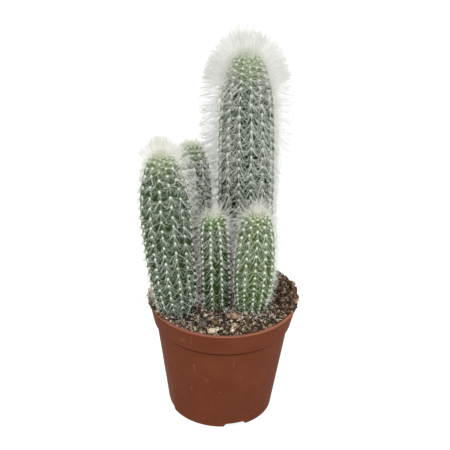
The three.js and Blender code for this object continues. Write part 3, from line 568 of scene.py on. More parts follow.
class Stem:
    """One stem's surface. place runs from 0 at the mix to 1 at the tip over the skin. The rest of a
    stem's values, for its looks and its spines, are kept under their own names."""

    def __init__(self, name, foot, bend, tip, outline, ribs, turn, spacing, sheltered=(0, 0), **rest):
        self.name, self.ribs, self.turn, self.sheltered = name, ribs, np.radians(turn), sheltered
        vars(self).update(rest)
        t = np.linspace(0, 1, AXIS_STEPS)[:, None]
        arc = (1 - t) ** 2 * np.array(foot) + 2 * t * (1 - t) * np.array(bend) + t**2 * np.array(tip)
        self.axis, self.height = evenly_walked(arc, AXIS_STEPS)
        curve = smooth_through([*outline, (self.height, 0)])
        self.outline, self.length = evenly_walked(curve, SKIN_STEPS)
        self.root_radius = outline[0][1]
        self.random = np.random.default_rng(sum(map(ord, name)))
        self.steps = np.linspace(0, 1, SKIN_STEPS)
        gap = np.interp(self.steps, SPACING_STRETCHES, spacing)
        self.rows_walked = np.concatenate([[0], np.cumsum(self.length / (SKIN_STEPS - 1) / gap[1:])])
        jitter = self.random.uniform(-STAGGER_JITTER, STAGGER_JITTER, ribs)
        self.stagger = (np.arange(ribs) % 2 / 2 + jitter) % 1

    def row(self, place):
        """How many areole spacings lie between the mix and a place."""
        return np.interp(place, self.steps, self.rows_walked)

    def frame_at(self, height):
        """The axis at a height: its point, its way and two vectors across it."""
        share = np.clip(height / self.height, 0, 1)
        steps = np.linspace(0, 1, AXIS_STEPS)
        way = unit(np.gradient(self.axis, axis=0))
        centre = np.stack([np.interp(share, steps, column) for column in self.axis.T], -1)
        forward = unit(np.stack([np.interp(share, steps, column) for column in way.T], -1))
        centre = centre + forward * np.minimum(height, 0)[..., None]
        side = unit(np.array([1.0, 0, 0]) - forward * forward[..., :1])
        return centre, forward, side, np.cross(forward, side)

    def skin(self, place, angle, lift=0.0):
        """Points on the ribbed skin, with the outward normal and the way up the rib at each.

        The radius is the outline's, less the furrow's depth where the angle lies between two ribs, plus
        a low swelling of the crest round each areole.
        """
        height, radius = (np.interp(place, self.steps, column) for column in self.outline.T)
        rate = unit(np.gradient(self.outline, axis=0))
        along, away = (np.interp(place, self.steps, column) for column in rate.T)
        centre, forward, side, back = self.frame_at(height)
        radial = side * np.cos(angle)[..., None] + back * np.sin(angle)[..., None]
        up = unit(forward * along[..., None] + radial * away[..., None])
        normal = unit(radial * along[..., None] - forward * away[..., None])
        crest = np.abs(np.cos(self.ribs * (angle - self.turn) / 2))
        rib = np.round((angle - self.turn) * self.ribs / (2 * np.pi)).astype(int) % self.ribs
        swell = np.cos(2 * np.pi * (self.row(place) - self.stagger[rib]))
        fade = np.clip((1 - place) * self.length / SWELL_FADE, 0, 1)
        radius = radius * (1 - FURROW_DEPTH * (1 - crest)) + AREOLE_SWELL * swell * crest**3 * fade
        return centre + radial * radius[..., None] + normal * lift, normal, up

    def body(self):
        """The stem as a closed body: the plain root end under the mix and the ribbed skin above it."""
        columns = self.ribs * POINTS_PER_RIB
        angle = all_round(columns)
        place = np.linspace(0, 1, int(self.length / RING_SPACING))[:-1]
        place_grid, angle_grid = np.meshgrid(place, angle, indexing="ij")
        skin = self.skin(place_grid, angle_grid)[0]
        depth, share = np.array(ROOT_RINGS).T
        centre, forward, side, back = self.frame_at(depth)
        around = side[:, None] * np.cos(angle)[None, :, None] + back[:, None] * np.sin(angle)[None, :, None]
        root = centre[:, None] + around * (share * self.root_radius)[:, None, None]
        rings = np.concatenate([root, skin])
        points, faces = closed_body(rings, centre[0], self.axis[-1])
        crest = np.abs(np.cos(self.ribs * (angle_grid - self.turn) / 2))
        values = {}
        for label, grid in (("young", place_grid), ("crest", crest)):
            rooted = np.concatenate([np.zeros((len(depth), columns)), grid])
            values[label] = np.append(rooted.ravel(), [0, 1])
        return points, faces, values

    def areoles(self):
        """The place and the angle of each areole: along every crest, from just above the mix to the tip."""
        first = self.row(FIRST_AREOLE / self.length)
        last = self.row(1 - LAST_AREOLE / self.length)
        row, rib = np.meshgrid(np.arange(-1, int(last) + 2), np.arange(self.ribs), indexing="ij")
        row = (row + self.stagger[rib] + self.random.normal(0, ROW_JITTER, rib.shape)).ravel()
        rib = rib.ravel()
        kept = (row > first) & (row < last)
        place = np.interp(row[kept], self.rows_walked, self.steps)
        return place, rib[kept] * 2 * np.pi / self.ribs + self.turn

    def distance(self, points):
        """How far points are outside this stem: the least distance from balls that fill it."""
        height, radius = self.outline[::20].T
        centres, _, _, _ = self.frame_at(height)
        apart = np.linalg.norm(points[:, None] - centres[None], axis=-1) - radius
        return apart.min(axis=1)


def attribute(tree, name):
    """The number of that name which a mesh holds for each of its points."""
    made = node(tree, "Attribute")
    made.attribute_name = name
    return made.outputs["Fac"]


def darkly_specked(tree, shader, shade, speck_colour, size, depth):
    """Shows a colour with darker specks of that size, and with pits of the same pattern."""
    body = node(tree, "Group", MOTTLING, Color=(1, 1, 1, 1), Other_Color=speck_colour, Size=size)
    shown = mixed(tree, 1.0, shade, body.outputs["Color"], "MULTIPLY")
    tree.links.new(shown, shader.inputs["Base Color"])
    relief(tree, shader, body.outputs["Height"], depth)


def cactus_skin(name, old, fresh):
    """Waxy skin of one stem: its own green, brighter at the tip, paler along the crests, and speckled darker
    with painted shade of the bristles over it.
    """
    material, tree, shader = new_material(f"waxy_skin_{name}", 0.75, 0.1)
    tip = spread(tree, attribute(tree, "young"), 0.84, 0.98)
    grown = mixed(tree, tip, colour(*old), colour(*fresh))
    ridge = spread(tree, attribute(tree, "crest"), 0.55, 1.0, 0.0, 0.25)
    pale = mixed(tree, ridge, grown, colour(120, 140, 92))
    # Painted shade: the fine dark specks stand for the shade that the bristles cast on the skin.
    darkly_specked(tree, shader, pale, (0.46, 0.52, 0.44, 1), 1.1, 0.15)
    return material


stems = [Stem(name, **values) for name, values in STEMS.items()]
for stem in stems:
    points, faces, values = stem.body()
    skin = cactus_skin(stem.name, stem.old, stem.fresh)
    new_piece(f"skin_{stem.name}", points, faces, skin, "cactus_skin", f"stem_{stem.name}", values)

# Areoles
# The pads of cream felt from which the spines grow, one every few millimetres along each crest. They are
# small domes that lean up the rib, and each has short wool on it.
AREOLE_HEIGHT = 1.05
AREOLE_WIDTH = 0.85
AREOLE_RAISED = 1.0
DOME_RINGS = ((1.0, -0.35), (0.82, 0.45), (0.42, 0.9))
WOOL_HAIRS = 10
WOOL_LENGTH = 1.3
WOOL_WIDTH = 0.07
SIZE_PLACES, SIZE_SHARES = (0, 0.3, 0.85, 0.97), (0.7, 0.95, 1, 0.65)


def copied(faces, count, points_each):
    """The faces of that many copies of a small body, with the points numbered on from copy to copy."""
    first = (np.arange(count) * points_each)[:, None, None]
    return [(part + first).reshape(-1, part.shape[-1]) for part in faces]


def felt_domes(centre, normal, up, size, random):
    """Low domes, six points round, each point pushed by a draw of its own. A row of DOME_RINGS is a
    ring's reach and how far it is raised, as shares of the dome's."""
    across = np.cross(up, normal)
    turn = all_round(6)
    reach, raised = np.array(DOME_RINGS).T
    push = random.uniform(0.85, 1.15, (len(centre), 3, 6))
    wide = push * reach[:, None] * AREOLE_WIDTH * np.cos(turn) * size[:, None, None]
    tall = push * reach[:, None] * AREOLE_HEIGHT * np.sin(turn) * size[:, None, None]
    out = push * raised[:, None] * AREOLE_RAISED * size[:, None, None]
    rings = (
        centre[:, None, None]
        + wide[..., None] * across[:, None, None]
        + tall[..., None] * up[:, None, None]
        + out[..., None] * normal[:, None, None]
    ).reshape(len(centre), 18, 3)
    low = centre + raised[0] * AREOLE_RAISED * normal
    top = centre + AREOLE_RAISED * size[:, None] * normal
    points = np.concatenate([rings, low[:, None], top[:, None]], axis=1)
    _, faces = closed_body(np.zeros((3, 6, 3)), (0, 0, 0), (0, 0, 0))
    return points.reshape(-1, 3), copied(faces, len(centre), 20)


def needles(root, way, length, bend, width, rings, taper=-0.35, blunt=0.8):
    """Three-sided curved needles. At a share t of its length a needle's middle is at its root, plus t
    along its way, plus t squared along its bend. Its width changes by the taper up to the blunt share of
    its length and then falls to nothing at the tip."""
    t = np.linspace(0, blunt, rings)
    helper = np.where(np.abs(way[:, 2:]) < 0.9, [[0, 0, 1.0]], [[1.0, 0, 0]])
    across = unit(np.cross(way, helper))
    other = np.cross(way, across)
    turn = all_round(3)
    spoke = across[:, None] * np.cos(turn)[None, :, None] + other[:, None] * np.sin(turn)[None, :, None]
    thick = width[:, None] * (1 + taper * t)
    along = way[:, None] * t[:, None] + bend[:, None] * t[:, None] ** 2
    middle = root[:, None] + along * length[:, None, None]
    ring_points = middle[:, :, None] + spoke[:, None] * thick[:, :, None, None]
    tip = root + (way + bend) * length[:, None]
    each = 3 * rings + 1
    points = np.concatenate([ring_points.reshape(len(root), 3 * rings, 3), tip[:, None]], axis=1)
    here, after, sides = bands(rings, 3)
    point = np.stack([here[-1], after[-1], np.full(3, each - 1)], -1)
    ends = np.concatenate([point, here[:1, ::-1]])
    share = np.append(np.repeat(t, 3), 1.0)
    return points.reshape(-1, 3), copied([sides, ends], len(root), each), np.tile(share, len(root))


felt_material = patchy("felt", (238, 243, 224), (216, 222, 198), 0.9, 0.25, 1.0, 0.1)
felt_material.node_tree.nodes["Principled BSDF"].inputs["Sheen Weight"].default_value = 0.3
for stem in stems:
    place, angle = stem.areoles()
    centre, normal, up = stem.skin(place, angle)
    size = stem.random.uniform(0.85, 1.1, len(place)) * np.interp(place, SIZE_PLACES, SIZE_SHARES)
    points, faces = felt_domes(centre, normal, up, size, stem.random)
    new_piece(f"areoles_{stem.name}", points, faces, felt_material, "cactus_skin")
    shape = (len(place), WOOL_HAIRS)
    way = unit(normal[:, None] + stem.random.normal(0, 0.8, (*shape, 3)))
    root = centre[:, None] + way * 0.45 * AREOLE_RAISED
    length = WOOL_LENGTH * stem.random.uniform(0.6, 1.0, shape)
    thin = np.full(len(way) * WOOL_HAIRS, WOOL_WIDTH)
    flat_way = way.reshape(-1, 3)
    points, faces, _ = needles(root.reshape(-1, 3), flat_way, length.ravel(), 0 * flat_way, thin, 1)
    new_piece(f"wool_{stem.name}", points, faces, felt_material, "cactus_skin")

# Spines
# Each areole bears thin, white, slightly curved bristles, which lie over the ribs and cross those of its
# neighbours. Duller ones lie flatter under them, hairs stand out between them, and a crown of hairs tops
# each stem. Real hairs taper. These widen, which sets how light their haze is.
HAIR_WIDTH = 0.014
UNDER_WIDTH = 0.045
UNDER_GROWTH = np.array([1, 1, 1, 0.8, 0.4])
LYING = (46, 80)
FLAT = (62, 84)
STANDING = (0, 34)
DOWNWARD = (20, 112)
SIDEWAYS = (35, 130)
FRONT_SHARE = 0.3
CROWN_FRONT_SHARE = 0.03
CROWDED_WITHIN = (1, 9)
CROWDED_SHARE = 0.12
STRETCHES = (0, 0.5, 0.72, 0.9, 1)
MOST_BEND = 0.12
ROOT_LIFT = 0.4
ROOT_OFFSET = 0.35
HEADING_JITTER = 0.5
LEAST_ROOM = 0.3
CUT_BACK = 0.62
TUFT_DEPTH = 2.8
TUFT_UPRIGHT = 1.4
TUFT_WIDTH = 0.01
LYING_FORM = {"rings": 2, "taper": 0.8}
UNDER_FORM = {"rings": 2, "taper": 0.4}
HAIR_FORM = {"rings": 2, "taper": 7.0, "blunt": 0.93}
CROWN_FORM = {"rings": 3, "taper": 8.0, "blunt": 0.93}


def room(points, own=None):
    """How far points are outside the nearest of the stems, not counting their own one."""
    return np.min([stem.distance(points) for stem in stems if stem is not own], axis=0)


def shortened(root, way, bend, length, own):
    """The lengths cut back where a bristle would run into another stem or into the mix."""
    for _ in range(4):
        tip = root + (way + bend) * length[:, None]
        inside = (tip[:, 2] < mix_height(tip[:, 0], tip[:, 1])) | (room(tip, own) < LEAST_ROOM)
        length = np.where(inside, CUT_BACK * length, length)
    return length


def on_show(angle, front_share):
    """The share of the standing hairs that a side of a stem keeps: all at the back and the sides, and
    fewer towards the front, where the green shows between them."""
    return np.interp(np.sin(angle), (-1, -0.1), (front_share, 1))


def uncrowded(stem, points):
    """The share of the lying bristles that grow at points off a stem: few where another stem is near."""
    return np.interp(room(points, stem), CROWDED_WITHIN, (CROWDED_SHARE, 1))


def spines(stem, counts, reach, tilts, fan, width, standing=False):
    """Spines from every areole, as many and as long as the rows give for its place. Their headings fan
    out to both sides of straight down the rib between the two angles of the fan, and all round near the
    tip. Each is tilted off the skin's normal by a draw between the two tilts, less near the tip, and a
    lean then sweeps it down or up. They are shorter on the sheltered side. Standing hairs are fewer at
    the front, and the others are fewer where stems crowd."""
    random = stem.random
    place, angle = stem.areoles()
    centre, normal, up = stem.skin(place, angle, ROOT_LIFT)
    across = np.cross(up, normal)
    most = max(counts)
    shape = (len(place), most)
    lean, reach, grown = (np.interp(place, STRETCHES, row)[:, None] for row in (stem.lean, reach, counts))
    parting, widest = np.radians(fan)
    widest = np.interp(place, (0.88, 1), (widest, np.pi))[:, None]
    aim = 2 * (np.arange(most) + random.uniform(0, 1, shape)) / most - 1
    heading = np.sign(aim) * (parting + (widest - parting) * np.abs(aim) ** 1.2) - np.pi / 2
    heading += random.normal(0, HEADING_JITTER, shape)
    steeper = np.interp(place, (0.85, 1), (1, 0.5 if standing else 0.8))
    least, steepest = (np.cos(np.radians(tilt) * steeper)[:, None] for tilt in tilts)
    out = least + (steepest - least) * random.uniform(0, 1, shape)
    flat = np.sqrt(1 - out**2)
    aside, along = flat * np.cos(heading), flat * np.sin(heading) - lean
    way = unit(
        normal[:, None] * out[..., None] + across[:, None] * aside[..., None] + up[:, None] * along[..., None]
    )
    side, share = stem.sheltered
    share *= 1 if standing else 0.35
    kept = 1 - share * np.clip(np.cos(angle - np.radians(side)), 0, 1) * np.clip((0.93 - place) / 0.12, 0, 1)
    reach = reach * kept[:, None] * random.uniform(0.86 if standing else 0.7, 1.0, shape)
    bend = random.uniform(-0.5, 0.5, (*shape, 3)) * MOST_BEND
    offset = random.uniform(-ROOT_OFFSET, ROOT_OFFSET, (*shape, 2))
    root = centre[:, None] + across[:, None] * offset[..., :1] + up[:, None] * offset[..., 1:]
    width = width * random.uniform(0.7, 1.15, shape) * np.interp(place, (0.85, 1), (1, 0.7))[:, None]
    left = on_show(angle, FRONT_SHARE) if standing else uncrowded(stem, centre + 4 * normal)
    grown = random.uniform(0, 1, shape) < left[:, None] * grown / most
    root, way, bend = (array[grown] for array in (root, way, bend))
    reach = shortened(root, way, bend, reach[grown], stem)
    return root, way, reach, bend, width[grown], np.broadcast_to(place[:, None], shape)[grown]


def crown(stem):
    """The crown: hairs on the last of the stem that stand off the skin, longest at the very tip, round a
    tuft of short, dense wool."""
    random = stem.random
    count = stem.crown_hairs + stem.tuft_hairs
    short = np.arange(count) >= stem.crown_hairs
    down = np.where(short, TUFT_DEPTH, stem.crown_depth) * random.beta(1.7, 1.4, count)
    angle = random.uniform(0, 2 * np.pi, count)
    kept = short | (random.uniform(0, 1, count) < on_show(angle, CROWN_FRONT_SHARE))
    short, down, angle, count = short[kept], down[kept], angle[kept], kept.sum()
    root, normal, _ = stem.skin(1 - (0.1 + down) / stem.length, angle)
    _, forward, _, _ = stem.frame_at(np.full(count, stem.height))
    upright = np.where(short, TUFT_UPRIGHT, stem.upright)[:, None]
    way = unit(normal + upright * forward + random.normal(0, 0.09, (count, 3)))
    bend = random.normal(0, 0.05, (count, 3))
    tall, low = stem.crown
    reach = np.interp(down, (0, 5, 0.45 * stem.crown_depth), (tall, 0.35 * low + 0.65 * tall, low))
    length = np.where(short, stem.tuft, reach) * random.uniform(0.92, 1.0, count)
    width = np.where(short, TUFT_WIDTH, stem.crown_width) * random.uniform(0.8, 1.2, count)
    return root, way, length, bend, width, np.where(short, 1, 0.89)


def bristle_white(name, root_white, end_white, glow=0.0):
    """Glassy white bristles, greyer at their ends, and cream in the youngest tufts. With a glow, their
    roots give off a little light. Real ones don't: the glow is set by the tone in the photograph."""
    material, tree, shader = new_material(name, 0.45, 0.5)
    along = attribute(tree, "along")
    root = spread(tree, along, 0.0, 0.7, 1.0, 0.35)
    warm = worked(tree, "Math", "MULTIPLY", root, attribute(tree, "cream"))
    white = mixed(tree, spread(tree, along, 0.25, 1.0), colour(*root_white), colour(*end_white))
    shown = mixed(tree, warm, white, colour(252, 249, 224))
    tree.links.new(shown, shader.inputs["Base Color"])
    lit = mixed(tree, spread(tree, along, 0.1, 0.6), shown, (0, 0, 0, 1))
    tree.links.new(lit, shader.inputs["Emission Color"])
    shader.inputs["Emission Strength"].default_value = glow
    return material


hair_material = bristle_white("hair_white", (252, 252, 248), (212, 211, 208), 0.19)
bristle_material = bristle_white("bristle_white", (250, 254, 247), (230, 235, 226))
under_material = bristle_white("under_bristle_white", (206, 218, 190), (206, 218, 190))
for stem in stems:
    lying = spines(stem, stem.bristles, stem.bristle_reach, LYING, DOWNWARD, stem.width)
    standing = spines(stem, stem.hairs, stem.hair_reach, STANDING, DOWNWARD, HAIR_WIDTH, True)
    under = spines(stem, stem.under, UNDER_GROWTH * stem.under_reach, FLAT, SIDEWAYS, UNDER_WIDTH)
    parts = {
        "bristles": (lying, LYING_FORM, bristle_material),
        "under_bristles": (under, UNDER_FORM, under_material),
        "hairs": (standing, HAIR_FORM, hair_material),
        "crown": (crown(stem), CROWN_FORM, hair_material),
    }
    for label, ((*needle, young), form, material) in parts.items():
        points, faces, along = needles(*needle, **form)
        warmth = stem.cream * np.clip((young - 0.85) / 0.12, 0, 1)
        values = {"along": along, "cream": np.repeat(warmth, len(along) // len(young))}
        new_piece(f"{label}_{stem.name}", points, faces, material, "cactus_skin", values=values)

# Crumbs of the mix
# Crumbs of peat, bark and grit in many colours lie over the top of the mix and over the lip, with thin
# splinters of bark, bristles that fell from the stems, and a few fibres at the rim.
CRUMBS = 8200
CRUMB_SIZES = (0.42, 2.0)
RIM_CRUMBS = 300
RIM_STRETCHES = ((-24, 46), (166, 222))
FIRST_STRETCH_SHARE = 0.72
SIZE_POWER = 4.6
CRUMB_SHADES = ((36, 27, 22), (78, 58, 44), (132, 109, 90), (188, 167, 143), (250, 240, 220))
SPLINTERS = 700
SPLINTER_SIZE = np.array([2.6, 0.5, 0.35])
FALLEN = 330
FALLEN_WIDTH = 0.065
FIBRES = ((-52.4, 1, 86.6), (-52.6, -1.5, 85.8), (-52.3, 3, 86.2), (48.5, 11.5, 91))
FIBRE_WAYS = ((-0.45, 0, -0.85), (-0.6, -0.1, -0.7), (-0.3, 0.1, -0.9), (0.6, 0.1, 0.3))
FIBRE_LENGTH = 8.0
FIBRE_WIDTH = 0.2


def crumbs(place, size, random):
    """Uneven lumps on an icosahedron's twelve corners, each with its own size, turn and jitter."""
    golden = (1 + 5**0.5) / 2
    some = np.array([(0, a, b * golden) for a in (-1, 1) for b in (-1, 1)])
    corners = unit(np.concatenate([some, some[:, [1, 2, 0]], some[:, [2, 0, 1]]]))
    apart = np.linalg.norm(corners[:, None] - corners[None], axis=-1)
    edge = apart[apart > 0.01].min() * 1.1
    faces = [trio for trio in combinations(range(12), 3) if apart[np.ix_(trio, trio)].max() < edge]
    faces = np.array([f if np.linalg.det(corners[list(f)]) > 0 else f[::-1] for f in faces])
    turns = np.linalg.qr(random.normal(0, 1, (len(place), 3, 3)))[0]
    turns *= np.linalg.det(turns)[:, None, None]
    shape = random.uniform(0.5, 1.0, (len(place), 1, 3)) * size.reshape(len(place), 1, -1)
    lumps = corners[None] * random.uniform(0.75, 1.1, (len(place), 12, 1)) * shape
    points = lumps @ turns + place[:, None]
    return points.reshape(-1, 3), copied([faces], len(place), 12)


def crumb_mix():
    """Each crumb's own colour, from black peat through bark brown to cream grit, and its pores."""
    material, tree, shader = new_material("crumb_mix", 0.9, 0.25)
    ramp = node(tree, "ValToRGB", Fac=attribute(tree, "kind"))
    stops = ramp.color_ramp.elements
    for position in (0.25, 0.5, 0.75):
        stops.new(position)
    for stop, shade in zip(stops, CRUMB_SHADES):
        stop.color = colour(*shade)
    darkly_specked(tree, shader, ramp.outputs["Color"], (0.6, 0.58, 0.56, 1), 0.8, 0.3)
    return material


def scattered_crumbs(random):
    """Places and sizes of crumbs drawn evenly over the top, small ones most often."""
    radius = (BAND_TOP_RADIUS - WALL - 1.2) * np.sqrt(random.uniform(0, 1, CRUMBS))
    angle = random.uniform(0, 2 * np.pi, CRUMBS)
    x, y = radius * np.cos(angle), radius * np.sin(angle)
    size = CRUMB_SIZES[0] + (CRUMB_SIZES[1] - CRUMB_SIZES[0]) * random.uniform(0, 1, CRUMBS) ** SIZE_POWER
    return np.stack([x, y, mix_height(x, y) + 0.3 * size], -1), size


def rim_crumbs(random):
    """Places and sizes of crumbs that lie on the pot's lip where the mix has spilled."""
    other = random.uniform(0, 1, RIM_CRUMBS) >= FIRST_STRETCH_SHARE
    stretch = np.radians(RIM_STRETCHES)[other.astype(int)]
    angle = stretch[:, 0] + (stretch[:, 1] - stretch[:, 0]) * random.uniform(0, 1, RIM_CRUMBS)
    radius = random.uniform(BAND_TOP_RADIUS - WALL - 1, LIP_RADIUS - 0.4, RIM_CRUMBS)
    size = random.uniform(0.6, 1.7, RIM_CRUMBS)
    height = POT_HEIGHT + 0.4 * size + random.uniform(0, 1, RIM_CRUMBS) * (LIP_RADIUS - radius) * 0.5
    return np.stack([radius * np.cos(angle), radius * np.sin(angle), height], -1), size


crumb_material = crumb_mix()
crumb_random = np.random.default_rng(31)
both = scattered_crumbs(crumb_random), rim_crumbs(crumb_random)
place, size = (np.concatenate(pair) for pair in zip(*both))
free = room(place) > 0
place, size = place[free], size[free]
# Painted shade: from 16 to 34 mm right of the axis the crumbs are made darker, in place of the shade of the
# stems.
kind = crumb_random.beta(0.62, 0.84, len(place)) * np.interp(place[:, 0], (16, 34), (1, 0.8))
values = {"kind": np.repeat(kind, 12)}
new_piece("mix_crumbs", *crumbs(place, size, crumb_random), crumb_material, "potting_mix", values=values)

place, _ = scattered_crumbs(crumb_random)
place = place[room(place) > 1][:SPLINTERS]
size = SPLINTER_SIZE * crumb_random.uniform(0.6, 1.2, (len(place), 1))
points, faces = crumbs(place + [0, 0, 0.5], size, crumb_random)
values = {"kind": np.repeat(crumb_random.uniform(0.0, 0.95, len(place)), 12)}
new_piece("mix_splinters", points, faces, crumb_material, "potting_mix", values=values)

place, _ = scattered_crumbs(crumb_random)
apart = room(place)
way = unit(crumb_random.normal(0, 1, place.shape) * [1, 1, 0.12])
length = crumb_random.uniform(4, 9, len(place))
ends = np.hypot(*(place + way * length[:, None])[:, :2].T)
kept = np.nonzero((apart > 0.5) & (apart < 8) & (ends < BAND_TOP_RADIUS - 4))[0][:FALLEN]
place, way, length = place[kept], way[kept], length[kept]
bend = crumb_random.normal(0, 0.12, place.shape)
thin = np.full(len(place), FALLEN_WIDTH)
points, faces, along = needles(place + [0, 0, 0.9], way, length, bend, thin, 2, 0.4)
values = {"along": along, "cream": 0 * along}
new_piece("fallen_bristles", points, faces, bristle_material, "cactus_skin", values=values)

way = unit(np.array(FIBRE_WAYS))
bend = crumb_random.normal(0, 0.3, way.shape)
length, thin = np.full(len(way), FIBRE_LENGTH), np.full(len(way), FIBRE_WIDTH)
points, faces, along = needles(np.array(FIBRES), way, length, bend, thin, 4)
values = {"kind": 0.1 + 0.35 * along}
new_piece("rim_fibres", points, faces, crumb_material, "potting_mix", values=values)

# Loose pieces on the mix
# A bark chip, a grey stone, a lump of pumice and two pebbles lie on the mix in front of the stems, and
# clumps of peat that hold together lie on the rim or beside it, at both sides.
LOOSE = {
    "bark_chip": dict(at=(7.2, -28.2), size=(12.6, 6.4, 4), turn=12, sunk=0.3, rough=0.6, boxy=2.8),
    "grey_stone": dict(at=(-13, -37.6), size=(6.4, 6, 4.8), turn=30, sunk=0.8, rough=0.16, boxy=2.2),
    "pumice_lump": dict(at=(-7.2, -44.6), size=(7.4, 5.4, 4.4), turn=8, sunk=0.7, rough=0.55, boxy=2.6),
    "brown_pebble": dict(at=(-5.2, -35.4), size=(4.6, 4.4, 3.6), turn=50, sunk=0.7, rough=0.2, boxy=2.2),
    "cream_pebble": dict(at=(7.8, -37.8), size=(5.8, 4, 3.6), turn=-15, sunk=0.7, rough=0.4, boxy=2.4),
}
LOOSE_FINISH = {
    "bark_chip": ("bark", (190, 166, 140), (98, 68, 50), 2.4, 0.6),
    "grey_stone": ("grey_grit", (116, 108, 102), (70, 62, 58), 1.6, 0.3),
    "pumice_lump": ("pale_grit", (238, 228, 204), (164, 142, 112), 1.3, 0.6),
    "brown_pebble": ("brown_grit", (128, 102, 80), (80, 62, 48), 1.5, 0.3),
    "cream_pebble": ("pale_grit", (190, 166, 142), (122, 98, 78), 1.6, 0.4),
}
RIM_CLUMPS = (
    (-50.4, -4.5, 5.2, 11.5, "tan"),
    (-49.6, -12, 4.4, 6.5, "brown"),
    (50.4, 3.5, 4.6, 9, "red"),
    (50.8, -3, 4.4, 7.5, "red"),
    (47.5, 12, 6.5, 9, "brown"),
    (41, 8, 7.5, 8.5, "brown"),
    (42, 20, 6.5, 6, "brown"),
    (49.8, 9.5, 3.4, 9.5, "tan"),
    (48.4, -10, 4.4, 5.4, "brown"),
)
CLUMP_SHADES = {
    "tan": ((112, 90, 74), (206, 186, 166)),
    "red": ((62, 38, 32), (140, 100, 86)),
    "brown": ((46, 33, 24), (120, 94, 70)),
}
CLUMP_FORM = {"sunk": 1.2, "rough": 0.6, "boxy": 2.2}
LOOSE_SEED = 40
CLUMP_SEED = 70
LUMP_RINGS = 20
LUMP_TURNS = 40


def loose_lump(at, size, turn, sunk, rough, boxy, seed):
    """A superellipsoid: on each ray from its middle the boxy-th powers of the three coordinates, as
    shares of the half sizes, add up to 1. A rumpled distance then makes it uneven."""
    rise = np.linspace(-np.pi / 2, np.pi / 2, LUMP_RINGS + 2)[1:-1, None]
    angle = all_round(LUMP_TURNS)
    level = np.cos(rise)
    rings = np.stack([level * np.cos(angle), level * np.sin(angle), np.sin(rise) + 0 * angle], -1)
    ray, faces = closed_body(rings, (0, 0, -1), (0, 0, 1))
    out = ray * (np.abs(ray) ** boxy).sum(-1, keepdims=True) ** (-1 / boxy)
    uneven = rumple(ray, 0.7, seed) + 0.5 * rumple(ray, 0.3, seed + 1)
    points = out * (1 - rough * (0.5 + 0.5 * uneven))[:, None] * np.array(size) / 2
    way = np.radians(turn)
    x = points[:, 0] * np.cos(way) - points[:, 1] * np.sin(way)
    y = points[:, 0] * np.sin(way) + points[:, 1] * np.cos(way)
    middle = np.array([*at, mix_level(*at) + size[2] / 2 - sunk])
    return np.stack([x, y, points[:, 2]], -1) + middle, faces


clump_materials = {
    shade: patchy(f"{shade}_clump", *shades, 1.5, 1.2, 0.95) for shade, shades in CLUMP_SHADES.items()
}
for number, (x, y, wide, high, shade) in enumerate(RIM_CLUMPS):
    size = (wide, 1.1 * wide, high)
    clump = loose_lump((x, y), size, 40 * number, seed=CLUMP_SEED + 2 * number, **CLUMP_FORM)
    new_piece(f"rim_clump_{number + 1}", *clump, clump_materials[shade], "potting_mix")
for number, (name, values) in enumerate(LOOSE.items()):
    slot, *finish = LOOSE_FINISH[name]
    lump = loose_lump(seed=LOOSE_SEED + 2 * number, **values)
    new_piece(f"fine_{name}", *lump, patchy(f"{name}_finish", *finish, 0.9), slot, name)

# Camera, light and floor
# The camera stands in front and looks down by 28 degrees, as a fit to the pot in the photograph gives.
# Three large lights and a bright sky make soft light all round, over a plain pale floor.
CAMERA_PLACE = np.array([-0.16, -653.1, 488.5])
CAMERA_PITCH = np.radians(27.93)
CAMERA_ROLL = np.radians(1.78)
CAMERA_LENS = 87.3
CAMERA_SENSOR = 36
PLANT_MIDDLE = (0, 0, 0.12)
SKY_LIGHT = 0.66
FLOOR_REACH = 40


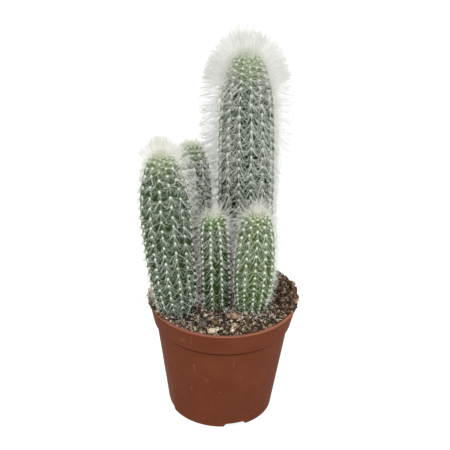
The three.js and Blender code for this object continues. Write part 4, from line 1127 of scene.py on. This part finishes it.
def add_camera():
    """A level camera turned down by its pitch and then turned in its own plane by its roll."""
    ahead = np.array([0, np.cos(CAMERA_PITCH), -np.sin(CAMERA_PITCH)])
    level = np.array([1.0, 0, 0])
    above = np.cross(level, ahead)
    right = level * np.cos(CAMERA_ROLL) + above * np.sin(CAMERA_ROLL)
    upward = above * np.cos(CAMERA_ROLL) - level * np.sin(CAMERA_ROLL)
    camera = bpy.data.objects.new("camera", bpy.data.cameras.new("camera"))
    turn = Matrix(np.stack([right, upward, -ahead], -1).tolist()).to_4x4()
    camera.matrix_world = Matrix.Translation(((CAMERA_PLACE + POT_AXIS) * MM).tolist()) @ turn
    camera.data.sensor_width = CAMERA_SENSOR
    camera.data.lens = CAMERA_LENS
    bpy.context.scene.collection.objects.link(camera)
    bpy.context.scene.camera = camera


def add_softbox(name, place, size, power):
    """A square area light of that size in metres, which looks at the middle of the plant."""
    light = bpy.data.lights.new(name, "AREA")
    light.size = size
    light.energy = power
    box = bpy.data.objects.new(name, light)
    way = Vector(PLANT_MIDDLE) - Vector(place)
    box.matrix_world = Matrix.Translation(place) @ way.to_track_quat("-Z", "Y").to_matrix().to_4x4()
    bpy.context.scene.collection.objects.link(box)


add_camera()
add_softbox("key_light", (-0.4, -0.9, 1.6), 1.4, 20)
add_softbox("fill_light", (0.9, -0.8, 0.9), 1.2, 7)
add_softbox("back_light", (0.1, 1.1, 1.2), 1.4, 22)
world = bpy.data.worlds.new("studio")
world.use_nodes = True
sky = world.node_tree
sky.nodes["Background"].inputs["Color"].default_value = (1, 1, 1, 1)
looked_at = node(sky, "LightPath").outputs["Is Camera Ray"]
strength = spread(sky, looked_at, 0.0, 1.0, SKY_LIGHT, 1.0)
sky.links.new(strength, sky.nodes["Background"].inputs["Strength"])
bpy.context.scene.world = world
bpy.context.scene.view_settings.view_transform = "Standard"

floor_material, _, floor_shader = new_material("pale_floor", 0.9, 0.0)
floor_shader.inputs["Base Color"].default_value = (0.3, 0.3, 0.3, 1)
floor_shader.inputs["Emission Color"].default_value = (1, 1, 1, 1)
floor_shader.inputs["Emission Strength"].default_value = 0.8
floor_mesh = bpy.data.meshes.new("floor")
floor_corners = [(FLOOR_REACH * x, FLOOR_REACH * y, 0) for x, y in ((-1, -1), (1, -1), (1, 1), (-1, 1))]
floor_mesh.from_pydata(floor_corners, [], [(0, 1, 2, 3)])
floor_mesh.materials.append(floor_material)
floor = bpy.data.objects.new("floor", floor_mesh)
bpy.context.scene.collection.objects.link(floor)
